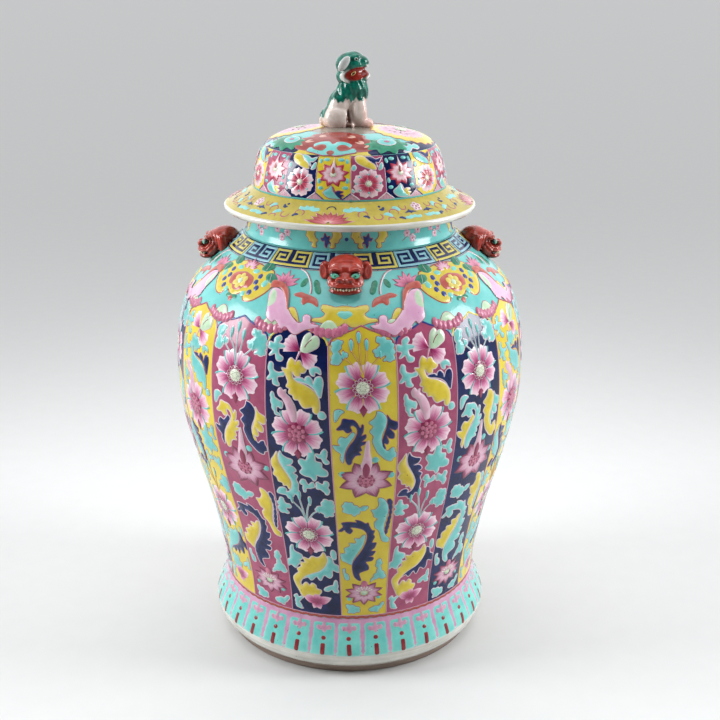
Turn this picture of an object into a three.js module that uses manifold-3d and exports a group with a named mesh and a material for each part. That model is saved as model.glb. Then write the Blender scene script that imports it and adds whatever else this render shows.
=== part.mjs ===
// A lidded porcelain jar of temple-jar form, 621 mm tall, with a seated lion on its lid.
// The jar is luted together from a foot, a base, two belly sections and a neck, and the lid from
// a brim, a dome and a locating collar.  Four mask heads are sprigged onto the shoulder.
// Lengths are millimetres, +Z is up, and the origin is the centre of the foot.
import * as THREE from "three";
import { mergeVertices } from "three/addons/utils/BufferGeometryUtils.js";
import Module from "manifold-3d";

// Driving dimensions.
const FACETS = 44; // sides of every turned piece
const WALL = 9.5; // thrown wall of the belly
const LID_WALL = 7; // thrown wall of the lid
const GAP = 0.3; // room between pieces that only touch
const FOOT_TOP = 63.6; // seam between foot and belly, at the waist
const SEAM = 234.6; // luting seam round the middle of the belly
const NECK_BASE = 443.8;
const NECK_TOP = 474.5;
const NECK_RADIUS = 105.2;
const NECK_BORE = 95; // radius inside the neck
const BISCUIT_TOP = 7.9; // where the unglazed clay ends
const BASE_UNDER = 14; // underside of the base above the table
const BASE_OVER = 26;
const BASE_RADIUS = 133.8;
const LID_SEAT = NECK_TOP + GAP; // the lid's flat seat on the neck
const LID_JOIN = 489.9; // where the dome stands on the brim
const COLLAR_DROP = 22; // how far the collar reaches into the neck
const COLLAR_RADIUS = 92.5;
const COLLAR_WALL = 6;
const MASK_LEAN = 10; // degrees that a mask looks down
const LION_FLOOR = 547.6; // the lid under the lion

// Outer outlines as [radius, height], bottom to top, followed by a smooth curve.
const FOOT_CURVE = [
  [139.8, BISCUIT_TOP], [147.6, 15], [151.2, 25], [148.8, 36], [142.6, 49], [138, FOOT_TOP],
];
const BELLY_CURVE = [
  [138, FOOT_TOP], [141.4, 96.6], [152.5, 151.8], [167.4, 207], [179.3, 262.2], [182.8, 305],
  [180.2, 345], [173, 372.6], [162.8, 393.3], [144.2, 414], [126.4, 429.7], [108.6, NECK_BASE],
];
const DOME_CURVE = [
  [99.2, LID_JOIN], [97.3, 503.4], [94.5, 514.6], [90.6, 525], [82.6, 534.8], [69, 541.2],
  [48.3, 545.5], [24, 547.9], [0, 548.5],
];

const wasm = await Module();
wasm.setup();

const PORCELAIN = { color: 0xe4e0d8, roughness: 0.12, metalness: 0 };
const TURQUOISE = { color: 0x74c6bf, roughness: 0.18, metalness: 0 };
const YELLOW = { color: 0xd6c24c, roughness: 0.18, metalness: 0 };
const BISCUIT = { color: 0xa38e80, roughness: 0.8, metalness: 0 };
const IRON_RED = { color: 0x8e2a22, roughness: 0.15, metalness: 0 };
const GREEN = { color: 0x12735a, roughness: 0.15, metalness: 0 };
const FLESH = { color: 0xd9cabf, roughness: 0.2, metalness: 0 };

// A smooth curve through an outline's points.
function curveThrough(points) {
  return new THREE.SplineCurve(points.map(([r, z]) => new THREE.Vector2(r, z)));
}

// The curve's point at a height, found by halving the part of the curve that holds it.
function pointAtHeight(curve, z) {
  let low = 0;
  let high = 1;
  for (let step = 0; step < 40; step += 1) {
    const middle = (low + high) / 2;
    if (curve.getPoint(middle).y < z) low = middle;
    else high = middle;
  }
  return curve.getPoint(high);
}

// Points of the curve between two heights, evenly spaced in height.
function stretch(curve, from, to, steps) {
  const points = [];
  for (let i = 0; i <= steps; i += 1) {
    const z = from + ((to - from) * i) / steps;
    points.push([pointAtHeight(curve, z).x, z]);
  }
  return points;
}

// A turned piece: the outline goes up the outside and comes back down the inside.
function turned(outline) {
  const points = outline.map(([r, z]) => new THREE.Vector2(r, z));
  return new THREE.LatheGeometry(points, FACETS).rotateX(Math.PI / 2);
}

// An outside outline and the same moved in by the wall, as one closed outline.
function hollow(outside, wall) {
  const inside = outside.map(([r, z]) => [r - wall, z]).reverse();
  return [...outside, ...inside, outside[0]];
}

function piece(name, geometry, look) {
  const mesh = new THREE.Mesh(geometry, new THREE.MeshStandardMaterial(look));
  mesh.name = name;
  return mesh;
}

// A geometry as a solid that can be cut and joined.
function solid(geometry) {
  const bare = geometry.clone();
  bare.deleteAttribute("normal");
  bare.deleteAttribute("uv");
  const merged = mergeVertices(bare, 1e-4);
  const corners = [];
  for (let i = 0; i < merged.index.count; i += 3) {
    const [a, b, c] = [0, 1, 2].map((k) => merged.index.getX(i + k));
    if (a !== b && b !== c && c !== a) corners.push(a, b, c);
  }
  const vertProperties = new Float32Array(merged.attributes.position.array);
  const triVerts = new Uint32Array(corners);
  return new wasm.Manifold(new wasm.Mesh({ numProp: 3, vertProperties, triVerts }));
}

function geometryOf(body) {
  const mesh = body.getMesh();
  const geometry = new THREE.BufferGeometry();
  geometry.setAttribute("position", new THREE.BufferAttribute(mesh.vertProperties, 3));
  geometry.setIndex(new THREE.BufferAttribute(mesh.triVerts, 1));
  geometry.computeVertexNormals();
  return geometry;
}

// One lump of clay: an ellipsoid with its centre, half sizes and tip about Y in degrees.
function lump({ at, half, tip = 0 }, grow = 0) {
  const geometry = new THREE.SphereGeometry(1, 10, 7).rotateX(Math.PI / 2);
  geometry.scale(half[0] + grow, half[1] + grow, half[2] + grow);
  geometry.rotateY(THREE.MathUtils.degToRad(tip));
  geometry.translate(at[0], at[1], at[2]);
  return geometry;
}

function modelled(lumps, grow = 0) {
  return lumps.map((one) => solid(lump(one, grow))).reduce((whole, next) => whole.add(next));
}

const belly = curveThrough(BELLY_CURVE);
const foot = curveThrough(FOOT_CURVE);

// The foot: a flared ring that stands on its unglazed edge and holds the base on a ledge.
function makeFootRing() {
  const outside = [[120, 0], [137.5, 0], ...stretch(foot, BISCUIT_TOP, FOOT_TOP, 6)];
  const inside = [[128.5, FOOT_TOP], [131, 48], [136.5, BASE_OVER], [134.2, BASE_UNDER]];
  const ledge = [[119, BASE_UNDER], [120, 0]];
  return piece("foot_ring", turned([...outside, ...inside, ...ledge]), BISCUIT);
}

// The base: a flat disc set on the foot's ledge.
function makeBase() {
  const edge = [[BASE_RADIUS, BASE_UNDER], [BASE_RADIUS, BASE_OVER]];
  const outline = [[0, BASE_UNDER], ...edge, [0, BASE_OVER]];
  return piece("base_disc", turned(outline), PORCELAIN);
}

// The two thrown sections of the belly, luted at the seam.
function makeLowerBody() {
  const outline = hollow(stretch(belly, FOOT_TOP, SEAM, 5), WALL);
  return piece("lower_body", turned(outline), TURQUOISE);
}

function makeUpperBody() {
  const side = stretch(belly, SEAM, 380, 5);
  const shoulder = stretch(belly, 393, NECK_BASE, 6);
  const outline = hollow([...side, ...shoulder], WALL);
  return piece("upper_body", turned(outline), TURQUOISE);
}

// The short upright neck with a rounded lip.
function makeNeck() {
  const outside = [[108.6, NECK_BASE], [106, 451], [NECK_RADIUS, 462], [104.6, NECK_TOP]];
  const inside = [[NECK_BORE, NECK_TOP], [NECK_BORE, 455], [99.1, NECK_BASE]];
  return piece("neck_ring", turned([...outside, ...inside, outside[0]]), TURQUOISE);
}

// A mask head, modelled facing +X with the jar's axis at the origin.
function maskLumps() {
  const skull = { at: [131, 0, 433], half: [16, 17, 13.5], tip: MASK_LEAN };
  const brow = { at: [143, 0, 431], half: [9, 14, 8], tip: MASK_LEAN };
  const snout = { at: [149, 0, 426], half: [10, 12, 7.5], tip: MASK_LEAN };
  const jaw = { at: [146, 0, 418], half: [9, 14.5, 5.5], tip: MASK_LEAN };
  const ears = [-1, 1].map((side) => ({ at: [131, 19 * side, 429], half: [6, 5.5, 9] }));
  return [skull, brow, snout, jaw, ...ears];
}

function makeMask(name, turn, shoulder) {
  const head = modelled(maskLumps()).subtract(shoulder);
  const geometry = geometryOf(head).rotateZ(THREE.MathUtils.degToRad(turn));
  return piece(name, geometry, IRON_RED);
}

function makeMasks() {
  const skin = stretch(belly, 393, NECK_BASE, 6).map(([r, z]) => [r + GAP, z]);
  const shoulder = solid(turned([[0, 393], ...skin, [108.6 + GAP, 460], [0, 460]]));
  const places = { mask_front: -91.6, mask_right: 0, mask_back: 90, mask_left: 180 };
  return Object.entries(places).map(([name, turn]) => makeMask(name, turn, shoulder));
}

// The lid's brim, with a round white edge that hangs below its seat.
function makeLidBrim() {
  const under = [[COLLAR_RADIUS - COLLAR_WALL, LID_SEAT], [109, LID_SEAT], [119.5, 468.8]];
  const edge = [[123.5, 466.6], [127, 467.2], [128.9, 470], [128.1, 473]];
  const top = [[114, 480.2], [102.5, 487.2], [99.2, LID_JOIN]];
  const inside = [[99.2 - LID_WALL, LID_JOIN], [COLLAR_RADIUS - COLLAR_WALL, LID_SEAT]];
  return piece("lid_brim", turned([...under, ...edge, ...top, ...inside]), YELLOW);
}

// The lid's dome, hollow beneath, closing at the axis.
function makeLidDome() {
  const outside = DOME_CURVE;
  const hollowTop = [[0, 541.5], [24, 540.9], [47, 538.6], [66, 534.6], [77, 529.4]];
  const hollowSide = [[84, 521.5], [87.6, 512.6], [90.3, 502.6], [99.2 - LID_WALL, LID_JOIN]];
  return piece("lid_dome", turned([...outside, ...hollowTop, ...hollowSide, outside[0]]), PORCELAIN);
}

// The collar that drops into the neck and keeps the lid centred.
function makeLidCollar() {
  const low = LID_SEAT - COLLAR_DROP;
  const outside = [[COLLAR_RADIUS - 1.5, low], [COLLAR_RADIUS, low + 3], [COLLAR_RADIUS, LID_SEAT]];
  const inner = COLLAR_RADIUS - COLLAR_WALL;
  const inside = [[inner, LID_SEAT], [inner, low], outside[0]];
  return piece("lid_collar", turned([...outside, ...inside]), PORCELAIN);
}

// The lion, seated along X with its head towards +X.  Heights are above the lid under it.
const LION_BODY = [
  { at: [-13, 0, 11], half: [15, 16, 15], tip: 0 }, // haunches
  { at: [-5, 0, 26], half: [14, 14, 20], tip: 26 }, // back
  { at: [3, 0, 38], half: [15.5, 14, 17], tip: 0 }, // chest
  { at: [-7, 0, 3], half: [20, 15, 5], tip: 0 }, // seat
];
const LION_HEAD = [
  { at: [1, 0, 60.5], half: [15, 14.5, 13.2], tip: 0 }, // skull
  { at: [10.5, 0, 58], half: [9.5, 10.5, 10], tip: 0 }, // muzzle
  { at: [3, 0, 49], half: [15.5, 14.5, 9], tip: 0 }, // ruff
];
const LION_TAIL = [{ at: [-26.5, 0, 9], half: [4.2, 4.5, 8.5], tip: 12 }];

function foreleg(side) {
  const shin = { at: [13, 7.5 * side, 15], half: [6, 6.3, 19], tip: -4 };
  const paw = { at: [17, 7.5 * side, 3.2], half: [7.5, 6.3, 4.8], tip: 0 };
  return [shin, paw];
}

function makeLion() {
  const top = DOME_CURVE.slice(5).map(([r, z]) => [r, z + GAP]);
  const lid = solid(turned([[0, 500], [69, 500], ...top]));
  const raise = (body) => body.translate([0, 0, LION_FLOOR]);
  const legRoom = modelled([...foreleg(-1), ...foreleg(1)], GAP);
  const body = modelled(LION_BODY);
  const head = modelled(LION_HEAD).subtract(modelled(LION_BODY, GAP));
  const tail = modelled(LION_TAIL).subtract(modelled(LION_BODY, GAP));
  const left = modelled(foreleg(1)).subtract(modelled(foreleg(-1), GAP));
  const right = modelled(foreleg(-1));
  const parts = [
    ["finial_body", body.subtract(legRoom), FLESH],
    ["finial_head", head.subtract(legRoom), GREEN],
    ["finial_foreleg_left", left, FLESH],
    ["finial_foreleg_right", right, FLESH],
    ["finial_tail", tail, GREEN],
  ];
  return parts.map(([name, shape, look]) => piece(name, geometryOf(raise(shape).subtract(lid)), look));
}

const jar = new THREE.Group();
jar.add(makeFootRing(), makeBase(), makeLowerBody(), makeUpperBody(), makeNeck(), ...makeMasks());

const lid = new THREE.Group();
lid.add(makeLidBrim(), makeLidDome(), makeLidCollar(), ...makeLion());

const whole = new THREE.Group();
whole.add(jar, lid);

export default whole;
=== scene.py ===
# A lidded porcelain jar with overglaze enamels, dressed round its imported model.
import math
import random

import bmesh
import bpy
import numpy as np
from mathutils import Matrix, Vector
from mathutils.geometry import delaunay_2d_cdt


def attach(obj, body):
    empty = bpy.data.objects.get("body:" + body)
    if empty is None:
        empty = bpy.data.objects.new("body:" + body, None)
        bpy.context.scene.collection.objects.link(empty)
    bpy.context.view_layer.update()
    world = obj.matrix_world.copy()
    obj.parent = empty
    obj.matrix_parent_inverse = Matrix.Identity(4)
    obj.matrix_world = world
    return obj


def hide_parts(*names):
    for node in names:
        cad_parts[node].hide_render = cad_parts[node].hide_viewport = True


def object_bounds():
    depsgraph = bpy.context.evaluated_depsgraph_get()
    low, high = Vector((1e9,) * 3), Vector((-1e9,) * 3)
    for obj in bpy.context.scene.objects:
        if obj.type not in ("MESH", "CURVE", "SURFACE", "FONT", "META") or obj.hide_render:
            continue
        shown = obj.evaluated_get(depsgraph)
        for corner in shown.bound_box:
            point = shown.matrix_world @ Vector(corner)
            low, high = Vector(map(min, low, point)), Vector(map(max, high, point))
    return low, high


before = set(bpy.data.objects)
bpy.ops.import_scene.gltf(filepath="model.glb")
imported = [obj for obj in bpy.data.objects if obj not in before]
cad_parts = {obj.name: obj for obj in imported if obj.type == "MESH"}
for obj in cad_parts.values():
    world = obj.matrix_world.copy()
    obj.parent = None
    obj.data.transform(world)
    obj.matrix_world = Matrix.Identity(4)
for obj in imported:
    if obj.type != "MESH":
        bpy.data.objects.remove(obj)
cad_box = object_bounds()
random.seed(11)


# ---- The table, the lamps and the camera ----
# The jar stands on a plain pale grey board in a pale room that is darker on the camera's side. A
# soft lamp stands at each side of it and one hangs above, and the camera looks a little down.
def colour(hex_code):
    """An sRGB hex colour as the linear values that a shader takes."""
    parts = [int(hex_code[i:i + 2], 16) / 255 for i in (1, 3, 5)]
    linear = [p / 12.92 if p <= 0.04045 else ((p + 0.055) / 1.055) ** 2.4 for p in parts]
    return (*linear, 1.0)


def node(tree, kind, fields=None, sockets=None):
    """Adds one shader node, sets its fields, and sets its sockets or links them."""
    made = tree.nodes.new("ShaderNode" + kind)
    for name, value in (fields or {}).items():
        setattr(made, name, value)
    for name, value in (sockets or {}).items():
        if isinstance(value, bpy.types.NodeSocket):
            tree.links.new(value, made.inputs[name])
        else:
            made.inputs[name].default_value = value
    return made


def bare_material(name):
    """A new material with an empty tree and a lone output, and that tree."""
    material = bpy.data.materials.new(name)
    material.use_nodes = True
    material.node_tree.nodes.clear()
    return material, material.node_tree


def show(tree, shader):
    """Sends a shader to the material's output."""
    node(tree, "OutputMaterial", sockets={"Surface": shader.outputs[0]})


COLOURS = {"data_type": "RGBA"}  # sets a Mix node to mix colours


def painted_board():
    """Matt board, pale grey, with hardly any tooth."""
    material, tree = bare_material("white_board")
    place = node(tree, "TexCoord").outputs["Object"]
    tooth = node(tree, "TexNoise", sockets={"Vector": place, "Scale": 40.0})
    tint = node(tree, "Mix", COLOURS, {
        "Factor": tooth.outputs[0], 6: colour("#d8d8d7"), 7: colour("#dcdcdb")})
    board = node(tree, "BsdfPrincipled", sockets={"Base Color": tint.outputs[2], "Roughness": 0.9})
    show(tree, board)
    return material


low, high = (Vector(corner) for corner in cad_box)
height = high.z - low.z

TABLE_REACH = 60.0
table = bpy.data.meshes.new("table")
corners = [(x * TABLE_REACH, y * TABLE_REACH, 0) for x, y in ((-1, -1), (1, -1), (1, 1), (-1, 1))]
table.from_pydata(corners, [], [(0, 1, 2, 3)])
table.materials.append(painted_board())
table = bpy.data.objects.new("table", table)
bpy.context.collection.objects.link(table)

NEAR_WALL, FAR_WALL = 0.06, 1.5
room = bpy.data.worlds.new("pale_room")
room.use_nodes = True
way = node(room.node_tree, "TexCoord").outputs["Generated"]
far_side = node(room.node_tree, "SeparateXYZ", sockets={"Vector": way})
wall_light = node(room.node_tree, "MapRange", sockets={
    "Value": far_side.outputs["Y"], "From Min": -0.5, "From Max": 0.4,
    "To Min": NEAR_WALL, "To Max": FAR_WALL})
wall = room.node_tree.nodes["Background"]
wall.inputs["Color"].default_value = colour("#f3f4f6")
room.node_tree.links.new(wall_light.outputs[0], wall.inputs["Strength"])
bpy.context.scene.world = room
bpy.context.scene.view_settings.view_transform = "Standard"


LAMP_SPREAD = math.radians(70)
LAMP_COLOUR = (0.95, 0.98, 1.0)


def lamp(name, place, aim, width, tall, watts):
    """A soft box: a flat lamp that faces a point."""
    light = bpy.data.lights.new(name, "AREA")
    light.shape = "RECTANGLE"
    light.size = width
    light.size_y = tall
    light.energy = watts
    light.spread = LAMP_SPREAD
    light.color = LAMP_COLOUR
    box = bpy.data.objects.new(name, light)
    box.location = place
    box.rotation_euler = (Vector(aim) - Vector(place)).to_track_quat("-Z", "Y").to_euler()
    bpy.context.collection.objects.link(box)


belly_high = (0, 0, height * 0.7)
lamp("lamp_left", (-1.8, -0.2, 1.05), belly_high, 0.8, 1.0, 5.8)
lamp("lamp_right", (1.85, -0.15, 1.05), belly_high, 0.7, 1.0, 5.6)
lamp("lamp_above", (0.0, -0.5, 2.5), belly_high, 2.0, 1.2, 3)

LOOK_DOWN = 18.87  # degrees
CAMERA_BACK, CAMERA_UP = 1.8657, 1.1183  # in heights of the jar
camera = bpy.data.cameras.new("camera")
camera.lens = 56.7
camera.shift_x = 0.0143
camera = bpy.data.objects.new("camera", camera)
camera.location = (0, -CAMERA_BACK * height, CAMERA_UP * height)
camera.rotation_euler = (math.radians(90 - LOOK_DOWN), 0, 0)
bpy.context.collection.objects.link(camera)
bpy.context.scene.camera = camera


# ---- The foot and the base ----
# A thrown foot that flares above an unglazed edge, with a flat base set inside it. The clay is
# bare and brownish where it meets the table, and clear glaze over white porcelain above that.
FOOT_TOP = 63.6
BISCUIT_TOP = 7.9
FOOT_CURVE = [
    (139.8, BISCUIT_TOP), (147.6, 15), (151.2, 25), (148.8, 36), (142.6, 49), (138, FOOT_TOP),
]
MM = 0.001
DEGREE = math.radians(1)
ROUND = 288  # the flats that stand for a round


def smooth(points, step, closed=False):
    """A curve through given points, as points about one step apart."""
    given = np.array(points, float)
    if closed:
        given = np.vstack([given[-1], given, given[:2]])
    else:
        given = np.vstack([2 * given[0] - given[1], given, 2 * given[-1] - given[-2]])
    curve = []
    for a, b, c, d in zip(given, given[1:], given[2:], given[3:]):
        count = max(2, int(np.hypot(*(c - b)) / step + 0.5))
        t = np.linspace(0, 1, count, endpoint=False)[:, None]
        curve.append(b + 0.5 * t * (c - a + t * (2 * a - 5 * b + 4 * c - d + t * (
            3 * (b - c) + d - a))))
    if not closed:
        curve.append(given[-2:-1])
    return np.vstack(curve)


class Turned:
    """The outside of a turned piece. A place on it is (degrees round, millimetres up its side)."""

    def __init__(self, outline):
        self.r, self.z = smooth(outline, 1.5).T
        steps = np.hypot(np.diff(self.r), np.diff(self.z))
        self.up = np.concatenate([[0], np.cumsum(steps)])
        self.out = np.gradient(self.z, self.up)
        self.rise = -np.gradient(self.r, self.up)

    def radius(self, up):
        return np.interp(up, self.up, self.r)

    def up_at(self, z):
        return float(np.interp(z, self.z, self.up))

    def at(self, turn, up, lift=0.0):
        """Places in metres. 0 degrees faces -Y and turns towards +X."""
        lean = np.interp(up, self.up, self.out)
        r = self.radius(up) + lift * lean
        z = np.interp(up, self.up, self.z) + lift * np.interp(up, self.up, self.rise)
        a = np.radians(turn)
        return np.stack([r * np.sin(a), -r * np.cos(a), z], -1) * MM

    def per_degree(self, up):
        """The millimetres that a degree takes round the piece."""
        return float(self.radius(up)) * DEGREE

    def spread(self, turn, per_degree, start=0.0):
        """Lays flat millimetres on the piece: x round it from a turn, y up its side from start."""
        return lambda x, y, lift: self.at(
            turn + np.asarray(x) / per_degree, start + np.asarray(y), lift)


def make_piece(name, places, faces, materials, body, kinds=None):
    """One mesh object that rides on a body. kinds gives each face its material's number."""
    mesh = bpy.data.meshes.new(name)
    mesh.from_pydata([tuple(p) for p in places], [], [tuple(int(i) for i in f) for f in faces])
    for material in materials:
        mesh.materials.append(material)
    if kinds is not None:
        mesh.polygons.foreach_set("material_index", kinds)
    mesh.polygons.foreach_set("use_smooth", [True] * len(mesh.polygons))
    mesh.update()
    piece = bpy.data.objects.new(name, mesh)
    bpy.context.collection.objects.link(piece)
    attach(piece, body)
    return piece


def turn_on_wheel(name, outline, materials, body, wall_of=None):
    """A closed outline [(radius, height)] turned round the axis. wall_of picks each row's material."""
    points = np.array(outline, float)
    rows = len(points)
    a = np.radians(np.arange(ROUND) * 360 / ROUND)
    places = np.empty((rows, ROUND, 3))
    places[:, :, 0] = points[:, 0:1] * np.sin(a)
    places[:, :, 1] = -points[:, 0:1] * np.cos(a)
    places[:, :, 2] = points[:, 1:2]
    faces, kinds = [], []
    for i in range(rows):
        j = (i + 1) % rows
        if points[i, 0] < 0.01 and points[j, 0] < 0.01:
            continue
        for k in range(ROUND):
            m = (k + 1) % ROUND
            faces.append((i * ROUND + k, i * ROUND + m, j * ROUND + m, j * ROUND + k))
            kinds.append(wall_of[i] if wall_of else 0)
    piece = make_piece(name, places.reshape(-1, 3) * MM, faces, materials, body, kinds)
    tidy_axis(piece)
    return piece


def tidy_axis(piece):
    """Joins the points that meet on the axis and drops the faces that this closes up."""
    mesh = bmesh.new()
    mesh.from_mesh(piece.data)
    bmesh.ops.remove_doubles(mesh, verts=mesh.verts, dist=1e-6)
    mesh.to_mesh(piece.data)
    mesh.free()


def bare_clay():
    """Trimmed clay burnt brown in the kiln: matt, sandy, with darker streaks round the wheel."""
    material, tree = bare_material("bare_foot_clay")
    place = node(tree, "TexCoord").outputs["Object"]
    squash = node(tree, "Mapping", sockets={"Vector": place, "Scale": (12.0, 12.0, 260.0)})
    streak = node(tree, "TexNoise", sockets={"Vector": squash.outputs[0], "Scale": 3.0, "Detail": 5.0})
    grit = node(tree, "TexNoise", sockets={"Vector": place, "Scale": 1000 / 0.8, "Detail": 3.0})
    tone = node(tree, "Mix", COLOURS, {
        "Factor": streak.outputs[0], 6: colour("#6f5a4c"), 7: colour("#a8968a")})
    sand = node(tree, "Bump", sockets={"Height": grit.outputs[0], "Strength": 0.5, "Distance": 0.0004})
    clay = node(tree, "BsdfPrincipled", sockets={
        "Base Color": tone.outputs[2], "Roughness": 0.85, "Normal": sand.outputs[0]})
    show(tree, clay)
    return material


def clear_glaze():
    """Clear glaze over white porcelain: wet gloss, faint grey rings from throwing, a few pinholes."""
    material, tree = bare_material("clear_glaze_on_porcelain")
    place = node(tree, "TexCoord").outputs["Object"]
    squash = node(tree, "Mapping", sockets={"Vector": place, "Scale": (10.0, 10.0, 420.0)})
    rings = node(tree, "TexNoise", sockets={"Vector": squash.outputs[0], "Scale": 1.0, "Detail": 4.0})
    cloud = node(tree, "TexNoise", sockets={"Vector": place, "Scale": 1000 / 30, "Detail": 3.0})
    both = node(tree, "Math", {"operation": "MULTIPLY"}, {0: rings.outputs[0], 1: cloud.outputs[0]})
    spread = node(tree, "MapRange", sockets={
        "Value": both.outputs[0], "From Min": 0.14, "From Max": 0.36})
    tone = node(tree, "Mix", COLOURS, {
        "Factor": spread.outputs[0], 6: colour("#c5c5b9"), 7: colour("#e7e4dc")})
    pins = node(tree, "TexVoronoi", sockets={"Vector": place, "Scale": 1000 / 9})
    spot = node(tree, "Math", {"operation": "LESS_THAN"}, {0: pins.outputs["Distance"], 1: 0.05})
    marked = node(tree, "Mix", COLOURS, {
        "Factor": spot.outputs[0], 6: tone.outputs[2], 7: colour("#6b6257")})
    wave = node(tree, "Bump", sockets={"Height": rings.outputs[0], "Strength": 0.35,
                                       "Distance": 0.0005})
    glaze = node(tree, "BsdfPrincipled", sockets={
        "Base Color": marked.outputs[2], "Roughness": 0.14, "IOR": 1.5, "Coat Weight": 0.5,
        "Coat Roughness": 0.05, "Normal": wave.outputs[0]})
    show(tree, glaze)
    return material


white_glaze = clear_glaze()
clay = bare_clay()
foot_skin = Turned(FOOT_CURVE)
flare = list(zip(foot_skin.r, foot_skin.z))
edge = [(118.9, 13.9), (119.6, 2), (120.6, 0.3), (121.5, 0), (136.6, 0), (138.2, 0.8), (139, 3.5)]
inside = [(128.5, FOOT_TOP), (131, 48), (134.4, 36), (136.3, 26), (134.2, 14)]
foot = turn_on_wheel(
    "foot", [*edge, *flare, *inside], [white_glaze, clay], "jar",
    [1] * len(edge) + [0] * (len(flare) + len(inside)))
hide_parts("foot_ring")

BASE_RADIUS = 133.8
base_outline = [(0, 14), (60, 14.3), (118, 14), (BASE_RADIUS, 14), (BASE_RADIUS, 26), (60, 26), (0, 26)]
base = turn_on_wheel("base", base_outline, [white_glaze], "jar")
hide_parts("base_disc")


# ---- The belly ----
# Two thrown sections luted at mid height, about 9 mm thick, glazed white inside. The outside is
# covered with opaque turquoise enamel, fired at a lower heat, which also shows on the shoulder.
NECK_BASE = 443.8
SEAM = 234.6
WALL = 9.5
BELLY_CURVE = [
    (138, FOOT_TOP), (141.4, 96.6), (152.5, 151.8), (167.4, 207), (179.3, 262.2), (182.8, 305),
    (180.2, 345), (173, 372.6), (162.8, 393.3), (144.2, 414), (126.4, 429.7), (108.6, NECK_BASE),
]


def enamel(name, body, deep, thin, cloud=9.0, gloss=0.16):
    """Overglaze enamel, a soft lead glass brushed on and fired: coloured through, clouded by the
    brush, paler where it thins at its edge, and glossy with a faint orange peel.
    body, deep and thin are its usual, thickest and thinnest colours; cloud is in millimetres."""
    material, tree = bare_material(name)
    place = node(tree, "TexCoord").outputs["Object"]
    brush = node(tree, "TexNoise", sockets={
        "Vector": place, "Scale": 1000 / cloud, "Detail": 4.0, "Roughness": 0.6})
    amount = node(tree, "MapRange", sockets={
        "Value": brush.outputs[0], "From Min": 0.35, "From Max": 0.7})
    tone = node(tree, "Mix", COLOURS, {
        "Factor": amount.outputs[0], 6: colour(deep), 7: colour(body)})
    rim = node(tree, "Attribute", {"attribute_name": "rim"})
    edge_share = node(tree, "MapRange", sockets={
        "Value": rim.outputs["Fac"], "To Min": 0.55, "To Max": 0.0})
    pale = node(tree, "Mix", COLOURS, {
        "Factor": edge_share.outputs[0], 6: tone.outputs[2], 7: colour(thin)})
    pits = node(tree, "TexVoronoi", sockets={"Vector": place, "Scale": 1000 / 11})
    pit = node(tree, "Math", {"operation": "LESS_THAN"}, {0: pits.outputs["Distance"], 1: 0.045})
    marked = node(tree, "Mix", COLOURS, {
        "Factor": pit.outputs[0], 6: pale.outputs[2], 7: colour("#3a3a34")})
    peel = node(tree, "TexNoise", sockets={"Vector": place, "Scale": 1000 / 3.5, "Detail": 2.0})
    rough = node(tree, "MapRange", sockets={
        "Value": brush.outputs[0], "To Min": gloss - 0.05, "To Max": gloss + 0.07})
    skin = node(tree, "Bump", sockets={"Height": peel.outputs[0], "Strength": 0.4, "Distance": 0.0002})
    glass = node(tree, "BsdfPrincipled", sockets={
        "Base Color": marked.outputs[2], "Roughness": rough.outputs[0], "IOR": 1.47,
        "Specular IOR Level": 0.3, "Coat Weight": 0.2, "Coat Roughness": 0.04,
        "Normal": skin.outputs[0]})
    show(tree, glass)
    return material


turquoise = enamel("turquoise_enamel", "#7accc6", "#5fb9b6", "#ace1dd", cloud=26)
yellow = enamel("yellow_enamel", "#e2cc3c", "#ceb42e", "#eadf8e", cloud=14)
navy = enamel("cobalt_blue_enamel", "#16265e", "#0b153a", "#304888", cloud=8, gloss=0.12)
rose = enamel("rose_enamel", "#b25a7a", "#984263", "#cf90a8", cloud=10)
ENAMELS = {"turquoise": turquoise, "yellow": yellow, "navy": navy, "rose": rose}

belly = Turned(BELLY_CURVE)


def mark_piece(piece, **marks):
    """Gives every point of a piece a number, or one each, that its enamel reads."""
    for name, values in marks.items():
        values = np.broadcast_to(values, len(piece.data.vertices)).astype(np.float32)
        piece.data.attributes.new(name, "FLOAT", "POINT").data.foreach_set("value", values)


def belly_section(name, low_z, high_z, node_name):
    """One thrown section: its outside from the outline, its inside moved in by the wall."""
    keep = (belly.z > low_z + 0.5) & (belly.z < high_z - 0.5)
    low_r, high_r = (float(np.interp(z, belly.z, belly.r)) for z in (low_z, high_z))
    outside = [(low_r, low_z), *zip(belly.r[keep], belly.z[keep]), (high_r, high_z)]
    back = [(r - WALL, z) for r, z in outside[::-3]]
    if back[-1][1] > low_z:
        back.append((low_r - WALL, low_z))
    kinds = [0] * (len(outside) - 1) + [1] * (len(back) + 1)
    piece = turn_on_wheel(
        name, [*outside, *back], [turquoise, white_glaze], "jar", kinds)
    mark_piece(piece, rim=1.0)
    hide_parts(node_name)


belly_section("lower_belly", FOOT_TOP, SEAM, "lower_body")
belly_section("upper_belly", SEAM, NECK_BASE, "upper_body")


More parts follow.
